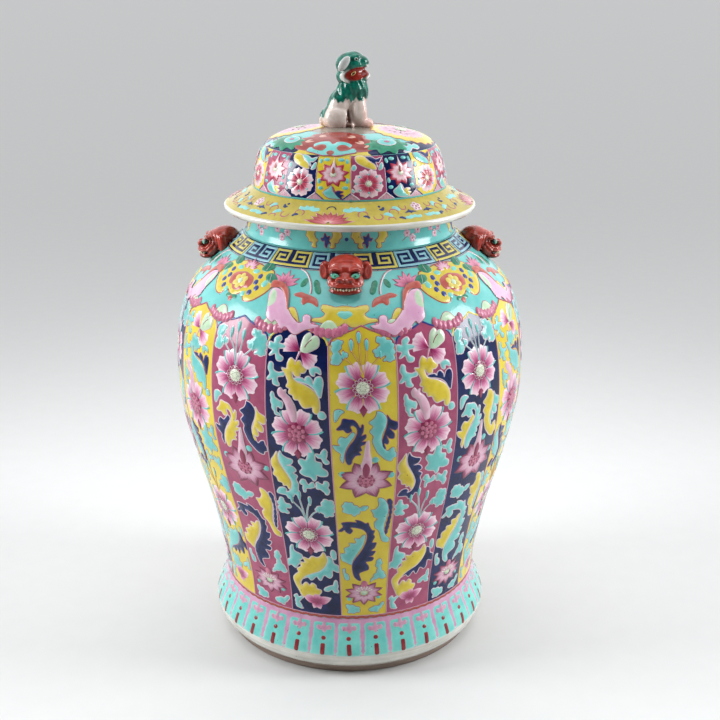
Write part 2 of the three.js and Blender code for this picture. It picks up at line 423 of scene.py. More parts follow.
# ---- The painted panels of the belly ----
# Eighteen upright panels with arched tops, in yellow, rose and blue grounds by turns. Enamels of
# different thickness are brushed between fired outlines, so each colour stands a little proud.
PANEL_FOOT = 3.6
PANELS = 18
TOPS_UP = 320  # how far up the side TOPS are
ARCH = [(0, 332), (1, 330.6), (2.6, 328), (5.3, 325), (7.5, 322.3), (8.9, 319.5), (9.7, 316), (10, 312)]
TOPS = [-68, -47.3, -25.8, -6.6, 13.9, 33.5, 52.8, 73.6]
FEET = [-66.5, -46.5, -25.4, -3.4, 15.8, 36.1, 57.5, 77]
for seams in (TOPS, FEET):
    last, missing = seams[-1], PANELS - len(seams) + 1
    gap = (360 + seams[0] - last) / missing
    seams.extend(last + gap * i + random.uniform(-0.5, 0.5) for i in range(1, missing))
    seams.append(360 + seams[0])
GROUNDS = ["yellow", "rose", "navy"]
GROUND_LIFT = 0.15


class Layer:
    """The shapes painted in one enamel, gathered to be made as one piece."""

    def __init__(self):
        self.places, self.faces, self.count = [], [], 0
        self.marks = {"rim": [], "tip": [], "side": []}

    def add(self, places, faces, **marks):
        """places are Nx3 in metres, faces count from 0, and marks give a number for each place."""
        self.places.append(places)
        self.faces.extend([n + self.count for n in face] for face in faces)
        for name, values in self.marks.items():
            given = marks.get(name, 1.0 if name == "rim" else 0.0)
            values.append(np.broadcast_to(given, len(places)))
        self.count += len(places)

    def make(self, name, material, body, slot):
        piece = make_piece(name, np.vstack(self.places), self.faces, [material], body)
        mark_piece(piece, **{name: np.concatenate(values) for name, values in self.marks.items()})
        return piece


def grid_faces(rows, columns, closed=False):
    """Quads of a grid whose places run along its columns first."""
    faces = []
    for i in range(rows - 1):
        for j in range(columns if closed else columns - 1):
            k = (j + 1) % columns
            faces.append((i * columns + j, i * columns + k, (i + 1) * columns + k,
                          (i + 1) * columns + j))
    return faces


def points(text):
    """Given points written as 'x y, x y, ...'."""
    return np.array([[float(n) for n in pair.split()] for pair in text.split(",")])


def edge_distance(places, outline):
    """How far each flat place is from a closed outline."""
    start, end = outline, np.roll(outline, -1, axis=0)
    along = end - start
    length = np.maximum((along ** 2).sum(1), 1e-12)
    gap = places[:, None] - start[None]
    share = np.clip((gap * along[None]).sum(2) / length[None], 0, 1)
    return np.sqrt(((gap - share[..., None] * along[None]) ** 2).sum(2)).min(1)


def is_inside(places, outline):
    """Whether each flat place is inside a closed outline."""
    x, y = places[:, 0:1], places[:, 1:2]
    a, b = outline, np.roll(outline, -1, axis=0)
    with np.errstate(divide="ignore", invalid="ignore"):
        crosses = ((a[:, 1] > y) != (b[:, 1] > y)) & (
            x < (b[:, 0] - a[:, 0]) * (y - a[:, 1]) / (b[:, 1] - a[:, 1]) + a[:, 0])
    return crosses.sum(1) % 2 == 1


def outward(curve):
    """Unit normals that point out of a closed flat curve."""
    along = np.roll(curve, -1, axis=0) - np.roll(curve, 1, axis=0)
    area = (curve[:, 0] * np.roll(curve[:, 1], -1) - np.roll(curve[:, 0], -1) * curve[:, 1]).sum()
    normal = np.stack([along[:, 1], -along[:, 0]], -1) * (1 if area > 0 else -1)
    return normal / np.maximum(np.linalg.norm(normal, axis=1)[:, None], 1e-9)


def pool(outline, step=1.2, bevel=0.7, spacing=4.5, lobe=0.0):
    """A flat outline in millimetres as triangles, with each place's distance from the edge. lobe
    is the length of one scallop of a frilled edge."""
    curve = smooth(outline, step, closed=True) if step else np.asarray(outline, float)
    run = np.cumsum(np.hypot(*(np.roll(curve, -1, axis=0) - curve).T))
    if lobe and run[-1] > 6 * lobe:
        swell = np.abs(np.sin(np.pi * round(run[-1] / lobe) * run / run[-1]))
        x, y = curve.T
        area = abs((x * np.roll(y, -1) - np.roll(x, -1) * y).sum()) / 2
        curve = curve + outward(curve) * (swell - 0.6)[:, None] * min(
            0.26 * lobe, 0.42 * area / run[-1])
    rows = curve - outward(curve) * bevel
    rows = rows[is_inside(rows, curve) & (edge_distance(rows, curve) > bevel * 0.85)]
    lows, highs = curve.min(0), curve.max(0)
    xs = np.arange(lows[0] + spacing / 3, highs[0], spacing)
    ys = np.arange(lows[1] + spacing / 3, highs[1], spacing * 0.866)
    web = np.array([(x + spacing / 2 * (j % 2), y) for j, y in enumerate(ys) for x in xs])
    web = web.reshape(-1, 2)
    web = web[is_inside(web, curve)]
    if len(web):
        web = web[edge_distance(web, curve) > bevel + spacing * 0.3]
    every = np.vstack([curve, rows, web])
    loop = list(range(len(curve)))
    made = delaunay_2d_cdt([Vector(p) for p in every], [], [loop], 1, 1e-4)
    flat = np.array([tuple(v) for v in made[0]])
    faces = np.array([f for f in made[2] if len(f) == 3])
    a, b, c = flat[faces[:, 0]], flat[faces[:, 1]], flat[faces[:, 2]]
    turned = (b[:, 0] - a[:, 0]) * (c[:, 1] - a[:, 1]) - (c[:, 0] - a[:, 0]) * (b[:, 1] - a[:, 1])
    faces[turned < 0] = faces[turned < 0][:, ::-1]
    return flat, faces, edge_distance(flat, curve), curve


def paint_pool(layer, shape, spread, thick=0.4, ground=GROUND_LIFT, edge=0.04):
    """Lays a pool of enamel. spread turns flat millimetres and a lift into places."""
    flat, faces, depth, _ = shape
    swell = np.sqrt(np.clip(depth / 0.75, 0, 1))
    lift = ground + edge + thick * swell
    layer.add(spread(flat[:, 0], flat[:, 1], lift), faces, rim=np.clip(depth / 1.6, 0, 1))


def paint_outline(layer, curve, spread, width=0.75, ground=GROUND_LIFT, raised=0.2, inset=0.3):
    """Draws a raised line round the outside of a closed curve."""
    normal = outward(curve)
    if (np.roll(curve[:, 0], -1) * curve[:, 1] - curve[:, 0] * np.roll(curve[:, 1], -1)).sum() > 0:
        curve, normal = curve[::-1], normal[::-1]
    rows = [curve + normal * width, curve + normal * width * 0.4, curve - normal * inset]
    lifts = [ground - 0.04, ground + raised, ground + raised * 0.6]
    flat = np.vstack(rows)
    lift = np.repeat(lifts, len(curve))
    layer.add(spread(flat[:, 0], flat[:, 1], lift), grid_faces(3, len(curve), closed=True))


def paint_line(layer, given, spread, width, ground=GROUND_LIFT, raised=0.25, step=2.0,
               taper=None, closed=False):
    """Draws a raised brush line through points. taper gives its width share from start to end."""
    curve = smooth(given, step, closed) if step else np.asarray(given, float)
    if closed:
        along = np.roll(curve, -1, axis=0) - np.roll(curve, 1, axis=0)
    else:
        along = np.gradient(curve, axis=0)
    normal = np.stack([-along[:, 1], along[:, 0]], -1)
    normal /= np.maximum(np.linalg.norm(normal, axis=1)[:, None], 1e-9)
    t = np.linspace(0, 1, len(curve))
    half = width / 2 * (np.ones(len(curve)) if taper is None else np.interp(t, *zip(*taper)))
    rows, lifts = [], []
    for side, up in ((-1, -0.05), (-0.45, raised), (0.45, raised), (1, -0.05)):
        rows.append(curve + normal * half[:, None] * side)
        lifts.append(np.full(len(curve), ground + up))
    flat = np.vstack(rows)
    layer.add(spread(flat[:, 0], flat[:, 1], np.concatenate(lifts)),
              grid_faces(4, len(curve), closed), tip=np.tile(t, 4))


def panel_turn(panel, x, up):
    """Turns a place in a panel, x from -10 to 10, into degrees round the jar."""
    share = (up - PANEL_FOOT) / (TOPS_UP - PANEL_FOOT)
    left = FEET[panel] + (TOPS[panel] - FEET[panel]) * share
    right = FEET[panel + 1] + (TOPS[panel + 1] - FEET[panel + 1]) * share
    return left + (x + 10) / 20 * (right - left)


def panel_spread(panel, up):
    """The millimetres in a degree at a height on the belly, and what lays flat millimetres on a
    panel there."""
    m = belly.per_degree(up)
    return m, lambda x, y, lift: belly.at(panel_turn(panel, x / m, y), y, lift)


def on_panel(layout):
    """The panels that have one of the two layouts."""
    return range(layout, PANELS, 2)


def arch_at(x):
    """How far up the side a panel's top is, x from -10 to 10."""
    return np.interp(np.abs(x), *zip(*ARCH))


grounds = {name: Layer() for name in GROUNDS}
for panel in range(PANELS):
    columns = np.array([-10, -9.7, -9.3, -8.9, -8.2, *np.linspace(-7.5, 7.5, 17), 8.2, 8.9, 9.3, 9.7,
                        10])
    ups = np.linspace(0, 1, 60)[:, None]
    y = PANEL_FOOT + (arch_at(columns)[None] - PANEL_FOOT) * ups
    x = np.broadcast_to(columns, y.shape)
    places = belly.at(panel_turn(panel, x, y), y, GROUND_LIFT)
    grounds[GROUNDS[panel % 3]].add(places.reshape(-1, 3), grid_faces(*y.shape))
yellow_ground = enamel("yellow_ground_enamel", "#e8d344", "#d6bd38", "#eee49a", cloud=32)
rose_ground = enamel("rose_ground_enamel", "#b25876", "#9a4464", "#cf90a6", cloud=18)
navy_ground = enamel("cobalt_ground_enamel", "#17275e", "#0c163c", "#304888", cloud=14, gloss=0.1)
grounds["yellow"].make("panels_yellow", yellow_ground, "jar", "yellow_enamel")
grounds["rose"].make("panels_rose", rose_ground, "jar", "rose_enamel")
grounds["navy"].make("panels_blue", navy_ground, "jar", "navy_enamel")

# Clouds and leaves on the panels, x in degrees from the panel's middle and y in millimetres up
# the side. Colour 1 and 2 change with the ground; c is cloud turquoise and s swaps them on rose.
TALL_PANEL = [
    ("c", "-9.2 313.7, -8.3 318.2, -5.8 318.7, -6 312.6, -6.7 309.1, -6.3 304.5, -5.2 307.5, "
     "-4 306, -4.7 303, -6 302.5, -6.3 297.4, -8.5 295.8, -9.3 299.4, -8.8 305.5"),
    ("c", "4.2 320.8, 6.5 321.3, 8.2 317.7, 9.3 316.2, 9.7 307.5, 9.2 298.9, 7.8 298.4, 6.2 298.9, "
     "6.5 303.5, 4.5 302.5, 3.2 306.5, 3.8 310.6, 5.2 312.6, 4.5 316.7"),
    ("c", "-8.7 251.5, -7.2 254, -5.7 251.5, -6.8 248.5, -8.2 241.3, -8.8 242.4"),
    ("2s", "3.8 251.5, 5.5 249.5, 6.6 243.4, 6.3 236.2, 5.4 229.1, 5 223, 5.5 215.9, 6.8 209.8, "
     "7.7 212.3, 8.8 213.3, 9.2 208.8, 9.6 206.7, 9.6 202.6, 8.8 201.6, 8.2 198.1, 6.5 199.6, "
     "4.8 204.7, 3.5 209.8, 2.7 215.9, 2.2 221, 2.5 226.1, 1.5 231.2, 2.5 236.2, 1.3 240.3, "
     "2.8 244.4, 3.5 248.5"),
    ("1s", "6.7 247.5, 7.8 242.4, 9.7 239.3, 10 235.2, 9.2 231.2, 7.5 233.2, 8.8 228.1, 8.8 223, "
     "7.5 223, 6.5 226.1, 7.2 220, 6.8 216.9, 5.8 217.9, 6.3 212.8, 5.8 210.8, 5.2 213.9, 5.2 221, "
     "5.8 228.1, 6.6 236.2, 6.8 242.4"),
    ("1s", "-8.2 233.7, -6.9 238.8, -6.2 244.4, -4.4 243.9, -3.1 243.4, -2.1 240.3, -1.2 235.2, "
     "-0.7 238.8, -0.2 237.3, -0.4 231.2, -0.9 227.1, 0.3 228.6, 0.4 225, -0.7 221, 0.3 221, "
     "-0.1 217.9, -1.2 215.9, -0.9 211.8, -1.7 209.8, -1.2 206.7, -2.7 205.7, -3.7 201.6, "
     "-4.1 197, -5.2 196, -5.9 201.6, -5.7 208.7, -4.7 215.9, -3.1 223, -2.2 230.1, -2.4 235.2, "
     "-3.4 237.8, -4.1 236.2, -3.7 232.2, -5.1 230.1, -6.2 233.2, -7.4 232.7"),
    ("2s", "-2.8 228.1, -4.2 221, -5.3 214.9, -6 208.7, -6.3 202.6, -6.7 197.5, -7.5 202.6, "
     "-7.3 207.7, -8.8 211.8, -9.5 216.9, -7.5 216.9, -8 221, -7 226.1, -5.5 225, -4.5 228.1, "
     "-3.5 231.2"),
    ("c", "-7.2 149.7, -5.1 151.3, -3.4 147.7, -1.7 144.6, 0.6 146.7, 0.9 141.6, -1.1 139.6, "
     "-2.1 136.5, -3.4 133.4, -5.4 136.5, -7.1 137.5, -7.6 143.6"),
    ("2", "4.7 155.3, 6.4 153.3, 7.7 146.7, 8.2 138.5, 7.7 129.4, 7.1 120.2, 7.1 112.1, 8.1 104.9, "
     "9.2 101.9, 9.2 96.8, 7.7 96.8, 6.4 99.8, 5.4 110, 4.7 114.1, 3.7 117.1, 3.4 124.3, "
     "4.4 128.3, 3.2 131.4, 2.7 136.5, 2.1 140.6, 3.7 141.6, 4.7 146.7, 4.4 151.8"),
    ("1", "7.4 151.8, 9.2 150.8, 9.4 134.5, 8.9 118.2, 8.1 107, 7.4 112.1, 7.9 124.3, 8.5 134.5, "
     "8.1 144.6"),
    ("1", "-9.5 113.6, -7.8 119.2, -8.2 124.3, -5.7 125.8, -3 125.3, -3.3 128.3, -1.3 126.8, "
     "0.3 123.3, 1.2 124.3, 1.8 119.2, 2.7 114.1, 3.7 113.1, 3.3 108, 3.8 104.9, 3 97.8, 4.5 96.8, "
     "4 90.7, 2.7 86.6, 4.3 85.6, 3.3 80.5, 2 79.5, 3.7 77.4, 3 73.3, 0.7 72.3, 1.7 67.2, "
     "1.7 62.1, -0.3 60.1, -2 57.1, -1.3 48.9, -2.3 48.4, -4 53, -4.8 61.1, -4.8 69.3, -3.7 76.4, "
     "-1.7 84.6, -0.2 92.7, 0.8 101.9, 0.7 110, -0.7 115.1, -3 117.7, -5 118.2, -4.3 114.1, "
     "-5.3 110, -6.7 112.1, -7.3 115.1, -8.3 112.6"),
    ("2", "0.3 108, 0 99.8, -1 91.7, -2.7 83.5, -4.3 75.4, -5.2 69.3, -7.3 72.3, -9 75.4, "
     "-9.2 83.5, -7.5 84.6, -7.7 90.7, -5.7 93.7, -5.7 97.8, -3.3 97.8, -3.7 103.9, -1.7 103.9, "
     "-1 107"),
    ("c", "5.8 75.9, 7.3 71.3, 6.9 63.2, 8.8 55, 8.6 48.9, 5.9 49.9, 3.3 46.9, 2.3 45.9, 3.9 54, "
     "5.3 61.1, 4.6 68.3"),
    ("c", "-8.7 63.2, -7.7 64.2, -7.6 59.1, -6.4 56, -6.2 49.9, -7.7 49.4, -8.4 55"),
    ("c", "-8.2 17.3, -5.2 17.3, -1.9 13.3, -2.5 8.2, -6.9 7.1, -7.2 12.2"),
    ("c", "3.9 14.3, 6.6 15.3, 8.2 19.4, 8.7 15.3, 6.9 10.2, 6.2 7.1, 3.2 8.2, 1.9 10.2"),
]
BENT_PANEL = [
    ("c", "-5.9 319.3, -5.4 316.2, -6.1 312.6, -3.9 311.1, -3.9 308.6, -5.9 307.5, -5.8 302.5, "
     "-4.4 299.4, -4.9 296.3, -6.4 296.9, -7.1 302.5, -8.3 300.9, -9.1 300.4, -8.1 305.5, "
     "-9.6 307.5, -9.4 312.6, -7.9 312.1, -7.6 316.7"),
    ("1", "-0.5 281.1, 1.8 282.1, 2.8 280, 3 282.6, 4 284.1, 5 281.1, 5.3 277, 6.2 283.1, "
     "7.7 284.1, 8.3 279, 8 271.9, 7.5 264.8, 6.7 266.8, 5.8 271.9, 4.2 276, 2.2 278, 0.5 279"),
    ("2", "-2.7 295.3, -1.7 299.9, -0.3 297.4, 1.2 297.9, 2 293.8, 3.2 290.2, 2.5 287.2, "
     "1.5 286.7, 1.2 283.6, -0.2 283.6, -1 287.2, -1.3 286.2, -0.8 281.1, 0.5 278, 2.5 276, "
     "4.5 272.9, 6 268.8, 7 262.7, 7.2 256.6, 7 251.5, 6.2 248.5, 5.2 250.5, 5 254.6, 3.8 254.1, "
     "2.5 253.6, 1.5 256.6, 0.8 260.7, -0.5 261.2, -1 264.8, -2.2 266.8, -2 270.9, -3 272.9, "
     "-2.5 277, -3 282.1, -3.8 286.2, -4.5 289.7, -3 289.7"),
    ("c", "-8.6 293.8, -7.6 292.8, -7.3 287.2, -5.6 285.1, -3.9 286.2, -3.9 282.6, -5.8 281.1, "
     "-5.9 277, -5.3 273.9, -5.8 272.4, -7.3 273.9, -7.6 278.5, -8.8 277, -9.4 278, -8.4 283.1, "
     "-9.1 288.2"),
    ("c", "4.7 286.2, 4.4 291.3, 6.1 293.3, 7.4 291.3, 7.7 286.7, 6.7 288.2, 5.9 288.2, 5.7 285.1"),
    ("c", "-7.7 266.3, -6.4 259.7, -4.7 257.6, -4.2 253.6, -4.7 251, -5.7 252, -6.4 250.5, "
     "-6.1 246.4, -5.1 243.4, -6.4 243.9, -7.4 248.5, -7.9 254.6, -8.1 261.7"),
    ("c", "7.1 250.6, 8.3 250.2, 8.9 246, 8 243.5, 6.9 244.4, 6.6 247.8"),
    ("1", "-6.1 205.2, -5.5 201.6, -4.1 198.8, -2.3 197, -2.9 192.2, -4.4 190.2, -2.5 189.6, "
     "-1.5 185.3, -2.5 182, -1.3 179.2, -1.8 174.6, -1.3 170, -1.5 163.9, -1.8 155.8, -2.8 156.8, "
     "-3.6 153.2, -5.1 150.2, -5.9 153.7, -7.8 154.2, -9 155.6, -7.9 161.4, -6.3 162.7, "
     "-5.5 160.3, -5.8 157.8, -4.4 159.6, -3.5 164.9, -3.3 171, -4.1 178.2, -5.3 185.3, "
     "-6.4 192.4, -6.7 199.6"),
    ("2", "-7.2 204.2, -8.3 198.6, -9.4 193.5, -9.5 187.4, -8.8 182.3, -9.4 177.2, -8.3 173.9, "
     "-7.9 169.5, -6.6 168.5, -6.3 165, -5.3 166, -4.4 161.4, -3.8 165, -3.6 171, -4.4 178.2, "
     "-5.6 184.8, -6.8 191.9, -7.1 198.6"),
    ("c", "3 208.2, 4.7 206.7, 5 198.6, 6.7 196.5, 6.8 191.4, 8.3 187.4, 8.2 182.3, 6.3 181.2, "
     "5 182.3, 4.8 178.2, 4 175.1, 3 179.2, 1 180.7, -0.2 184.3, 0.7 189.4, -0.3 195.5, 0.3 199.6, "
     "2 198.6, 2.7 203.7"),
    ("c", "7.7 212.3, 8.7 208.8, 8.3 202.6, 9 197.5, 8.3 195.5, 7.3 198.6, 6.7 202.6, 5.7 202.6, "
     "5.3 206.2, 6.7 206.7"),
    ("c", "-0.2 175.1, 1.2 175.1, 1.8 170, 3.5 173.1, 4 169, 2.8 166, 1.5 166, 0.7 160.9, "
     "0.2 161.9, 0.3 168, -0.5 171"),
    ("c", "4.5 171, 5.2 174.1, 6.5 171, 7.2 175.1, 8.5 174.1, 8.2 169, 8.5 161.9, 7.5 159.9, "
     "6.2 165, 4.8 166"),
    ("c", "-8.5 149.2, -7.2 148.2, -7 143.6, -5.5 142.6, -4.7 139, -6.2 137.5, -6.8 134.5, "
     "-5.8 131.9, -6.8 130.4, -9.2 131.4, -9.6 136.5, -9.2 139.6, -9.7 143.6, -8.8 144.6"),
    ("c", "6.2 152.3, 8.2 152.8, 9.6 149.7, 9.7 142.6, 9.2 134.5, 8.2 132.4, 6.5 131.9, 5.8 136.5, "
     "4.2 137.5, 3.5 141.6, 5.5 145.7"),
    ("c", "-6.8 88.6, -6.5 81.5, -3.8 77.4, -3.8 72.3, -4.8 70.3, -4.5 67.2, -5.8 63.2, -6.8 59.1, "
     "-8.5 62.1, -9.7 60.1, -9.8 64.2, -9.5 68.3, -8.5 70.3, -8.2 78.4, -7.8 85.6"),
    ("c", "7.8 87.6, 8.8 85.6, 9 78.4, 8.5 75.4, 7.5 78.4, 7.2 83.5"),
    ("2", "3.3 78.4, 4.5 83.5, 5.3 79.5, 5.7 73.3, 4.5 65.2, 2.5 59.1, -0.2 55, -2.8 50.9, "
     "-4.5 45.9, -5.5 40.8, -5 36.7, -3.3 41.8, -1.8 38.7, -0.8 41.8, 0.5 39.7, 0.8 35.7, "
     "2.5 33.6, 1.8 28.5, -0.5 25.5, -2.8 26.5, -4.2 22.4, -5.5 24.5, -6.5 30.6, -7.5 36.7, "
     "-8.2 44.8, -7.2 49.9, -5.8 54, -6.2 58.1, -4.5 62.1, -4.5 67.2, -2.8 68.3, -3.2 74.4, "
     "-1.2 73.3, 0.2 77.4, 1.8 76.4"),
    ("1", "5.9 78.9, 7.4 76.9, 8.1 70.3, 9.6 67.2, 9.7 59.1, 7.4 61.1, 7.1 54, 6.1 50.9, 4.1 54, "
     "2.6 46.9, 1.1 51.4, -0.9 45.9, -2.3 48.9, -4.3 46.4, -2.6 50.9, -0.3 54.5, 2.4 58.1, "
     "4.6 64.7, 5.8 72.3"),
    ("c", "-7.7 24.5, -7.2 21.4, -5.7 22.4, -5 21.4, -6.7 16.3, -5.8 10.2, -5.3 8.2, -7.3 8.2, "
     "-8.3 12.2, -8.3 18.3, -8.8 21.4"),
    ("c", "8.2 48.9, 9 43.8, 8.8 38.7, 9 32.6, 7.7 32.6, 7 35.7, 5 33.6, 3.8 34.1, 4.7 38.7, "
     "6.7 40.8, 7.7 43.8"),
]
ROLE_ONE = {"yellow": "navy", "rose": "navy", "navy": "turquoise"}
ROLE_TWO = {"yellow": "turquoise", "rose": "yellow", "navy": "yellow"}


def role_colour(role, ground):
    """The enamel of a motif on a ground."""
    if role == "c":
        return "turquoise"
    first = role[0] == "1"
    if role.endswith("s") and ground == "rose":
        first = not first
    return (ROLE_ONE if first else ROLE_TWO)[ground]


FRILL, LEAF_POINTS = 6.4, 15  # a cloud has fewer points than a leaf, and its edge is frilled
motifs = {name: Layer() for name in ENAMELS}
pale_lines, rose_lines = Layer(), Layer()
for layout, listed in ((1, TALL_PANEL), (0, BENT_PANEL)):
    for role, text in listed:
        outline = points(text)
        up = outline[:, 1].mean()
        frill = FRILL if len(outline) < LEAF_POINTS else 0
        shape = pool(outline * (belly.per_degree(up), 1), step=0.8, lobe=frill)
        for panel in on_panel(layout):
            ground = GROUNDS[panel % 3]
            _, spread = panel_spread(panel, up)
            paint_pool(motifs[role_colour(role, ground)], shape, spread)
            paint_outline(rose_lines if ground == "yellow" else pale_lines, shape[3], spread,
                          width=0.45 if ground == "yellow" else 0.8)


# ---- The flowers on the panels ----
# Peonies, lotus heads and buds in the pink enamel that gold gives: deep rose at the root of each
# petal, washed out to nearly white at its lip, with turquoise curls between the petals.
def petal_enamel(name, stops, lip):
    """Rose enamel wiped from dark to pale along each petal. stops are (share, colour) pairs and
    lip is how much a petal's long sides count as its tip."""
    material, tree = bare_material(name)
    place = node(tree, "TexCoord").outputs["Object"]
    tip = node(tree, "Attribute", {"attribute_name": "tip"}).outputs["Fac"]
    side = node(tree, "Attribute", {"attribute_name": "side"}).outputs["Fac"]
    across = node(tree, "Math", {"operation": "MULTIPLY"}, {0: side, 1: 5.0})
    z = node(tree, "SeparateXYZ", sockets={"Vector": place}).outputs["Z"]
    far = node(tree, "Math", {"operation": "MULTIPLY"}, {0: z, 1: 55.0})
    streak_place = node(tree, "CombineXYZ", sockets={"X": across.outputs[0], "Y": tip,
                                                     "Z": far.outputs[0]})
    streak = node(tree, "TexNoise", sockets={
        "Vector": streak_place.outputs[0], "Scale": 1.6, "Detail": 3.0, "Roughness": 0.65})
    sway = node(tree, "MapRange", sockets={
        "Value": streak.outputs[0], "From Min": 0.3, "From Max": 0.7, "To Min": -0.14, "To Max": 0.14})
    square = node(tree, "Math", {"operation": "MULTIPLY"}, {0: side, 1: side})
    sides = node(tree, "Math", {"operation": "MULTIPLY"}, {0: square.outputs[0], 1: lip})
    both = node(tree, "Math", {"operation": "ADD"}, {0: tip, 1: sides.outputs[0]})
    swayed = node(tree, "Math", {"operation": "ADD"}, {0: both.outputs[0], 1: sway.outputs[0]})
    ramp = node(tree, "ValToRGB", sockets={"Fac": swayed.outputs[0]})
    elements = ramp.color_ramp.elements
    elements.remove(elements[0])
    elements[0].position, elements[0].color = stops[0][0], colour(stops[0][1])
    for share, hex_code in stops[1:]:
        elements.new(share).color = colour(hex_code)
    gloss = node(tree, "MapRange", sockets={"Value": streak.outputs[0], "To Min": 0.14, "To Max": 0.3})
    glass = node(tree, "BsdfPrincipled", sockets={
        "Base Color": ramp.outputs[0], "Roughness": gloss.outputs[0], "IOR": 1.53, "Coat Weight": 0.3,
        "Coat Roughness": 0.08})
    show(tree, glass)
    return material


def plain_enamel(name, hex_code, gloss=0.22):
    """One thin line or dab of fired colour: even, with nothing in it but its gloss."""
    material, tree = bare_material(name)
    show(tree, node(tree, "BsdfPrincipled", sockets={
        "Base Color": colour(hex_code), "Roughness": gloss, "IOR": 1.5}))
    return material


open_petals, dark_petals = Layer(), Layer()
pale_pink, mid_pink, deep_rose, pistil, pale_green, ink = (Layer() for _ in range(6))
panel_edges, iron_lines, arch_blue, arch_yellow = (Layer() for _ in range(4))


def disc(radius_x, radius_y=None, count=20, lobes=0, depth=0.0):
    """A flat round or lobed outline about the origin."""
    a = np.linspace(0, 2 * np.pi, count, endpoint=False)
    swell = 1 + depth * np.cos(lobes * a)
    return np.stack([radius_x * swell * np.cos(a), (radius_y or radius_x) * swell * np.sin(a)], -1)


def dab(layer, outline, centre, spread, thick=0.35, ground=GROUND_LIFT, bevel=0.5):
    """A small pool laid about a flat centre: a rim row, an inner row and a middle."""
    inner = outline * max(0.3, 1 - bevel / max(0.6, np.abs(outline).max()))
    flat = np.vstack([outline, inner, [[0, 0]]]) + centre
    count = len(outline)
    lift = np.concatenate([np.full(count, ground), np.full(count + 1, ground + thick)])
    faces = [(i, (i + 1) % count, count + (i + 1) % count, count + i) for i in range(count)]
    cap = [(count + i, count + (i + 1) % count, 2 * count) for i in range(count)]
    rim = np.concatenate([np.zeros(count), np.full(count + 1, 0.9)])
    layer.add(spread(flat[:, 0], flat[:, 1], lift), faces + cap, rim=rim)


def around(centre, radius, count, start=0.0, squash=1.0):
    """Places set evenly round a centre, from a start in degrees."""
    a = np.radians(start + 360 / count * np.arange(count))
    return np.stack([np.cos(a), squash * np.sin(a)], -1) * radius + centre


def petal(layer, centre, angle, length, half, spread, form, root=0.25, squash=1.0, ground=0.2,
          puff=0.5):
    """One petal as a grid from its root to its lip. half is its half width: degrees for a heart
    or a fan, and millimetres for a pointed one."""
    rows, columns = 8, 11
    u = np.linspace(0, 1, rows)[:, None]
    t = np.linspace(-1, 1, columns)[None]
    if form == "pointed":
        along = length * (root + (1 - root) * u) + 0 * t
        wide = half * np.sin(np.pi * (0.22 + 0.78 * u)) ** 0.95
        x, y = along, t * wide
    else:
        if form == "heart":
            lip = 0.98 - 0.2 * np.abs(t) ** 3 + 0.035 * np.cos(4 * np.pi * t) - 0.085 * np.exp(
                -(t / 0.16) ** 2)
            turn = np.radians(half) * t * (0.82 + 0.18 * u)
        else:
            lip = 0.97 - 0.1 * np.abs(t) ** 4 + 0.035 * np.cos(6 * np.pi * t)
            turn = np.radians(half) * t
        r = length * (root + (lip - root) * u)
        x, y = r * np.cos(turn), r * np.sin(turn)
    a = np.radians(angle)
    flat_x = x * np.cos(a) - y * np.sin(a)
    flat_y = (x * np.sin(a) + y * np.cos(a)) * squash
    swell = np.sqrt(np.clip(1 - t ** 2, 0, 1)) * np.sqrt(np.clip(np.minimum(1 - u, 0.35) / 0.35, 0, 1))
    lift = ground + puff * swell
    places = spread((centre[0] + flat_x).ravel(), (centre[1] + flat_y).ravel(), lift.ravel())
    layer.add(places, grid_faces(rows, columns), tip=(u + 0 * t).ravel(), side=(t + 0 * u).ravel())


def flower_heart(centre, size, spread, kind, ground=0.35):
    """The middle of a flower: a seeded pale disc in a ring of loops, or a tight rose cluster."""
    if kind == "seeded":
        dab(deep_rose, disc(size * 0.37, count=24, lobes=12, depth=0.06), centre, spread, 0.3, ground)
        for where in around(centre, size * 0.3, 12, 15):
            paint_line(pale_lines, disc(size * 0.062, count=8) + where, spread, 0.5, ground + 0.3, 0.15,
                       step=0, closed=True)
        dab(pistil, disc(size * 0.23, count=20), centre, spread, 0.3, ground + 0.25)
        paint_line(ink, disc(size * 0.12, count=24, lobes=6, depth=0.32) + centre, spread, 0.32,
                   ground + 0.55, 0.06, step=0, closed=True)
        for where in around(centre, size * 0.185, 8):
            dab(ink, disc(0.42, count=6), where, spread, 0.1, ground + 0.52, 0.2)
        return
    share = 0.4 if kind == "rosette" else 0.34
    dab(deep_rose, disc(size * share, count=32, lobes=8, depth=0.09), centre, spread, 0.35, ground)
    for where in around(centre, size * share * 0.68, 8, 22):
        dab(mid_pink, disc(size * share * 0.2, count=8), where, spread, 0.25, ground + 0.28)
    for where in around(centre, size * share * 0.3, 5, 90):
        dab(mid_pink, disc(size * share * 0.2, count=8), where, spread, 0.3, ground + 0.4)


def peony(centre, size, spread, kind):
    """An open flower of eight heart petals, seen from the front."""
    for k in range(8):
        petal(open_petals, centre, 22.5 + 45 * k, size, 22.9, spread, "heart")
    for k in (0, 1, 3, 4, 5, 7):
        way = 1 if k in (0, 1, 7) else -1
        r = np.linspace(0.46, 1.0, 7)
        bend = np.radians(45 * k + way * 9 * (np.linspace(0, 1, 7) ** 2) * (1 if k < 4 else -1))
        curl = np.stack([r * np.cos(bend), r * np.sin(bend)], -1) * size + centre
        paint_line(motifs["turquoise"], curl, spread, 1.9, 0.45, 0.3,
                   taper=[(0, 0.4), (0.5, 0.7), (0.9, 1.1), (1, 0.6)])
    diamond = points("0 -7, 3.8 0, 0 5, -3.8 0") * size / 25
    dab(deep_rose, diamond, np.array(centre) + (0, -0.82 * size), spread, 0.3, 0.4)
    flower_heart(centre, size, spread, kind)


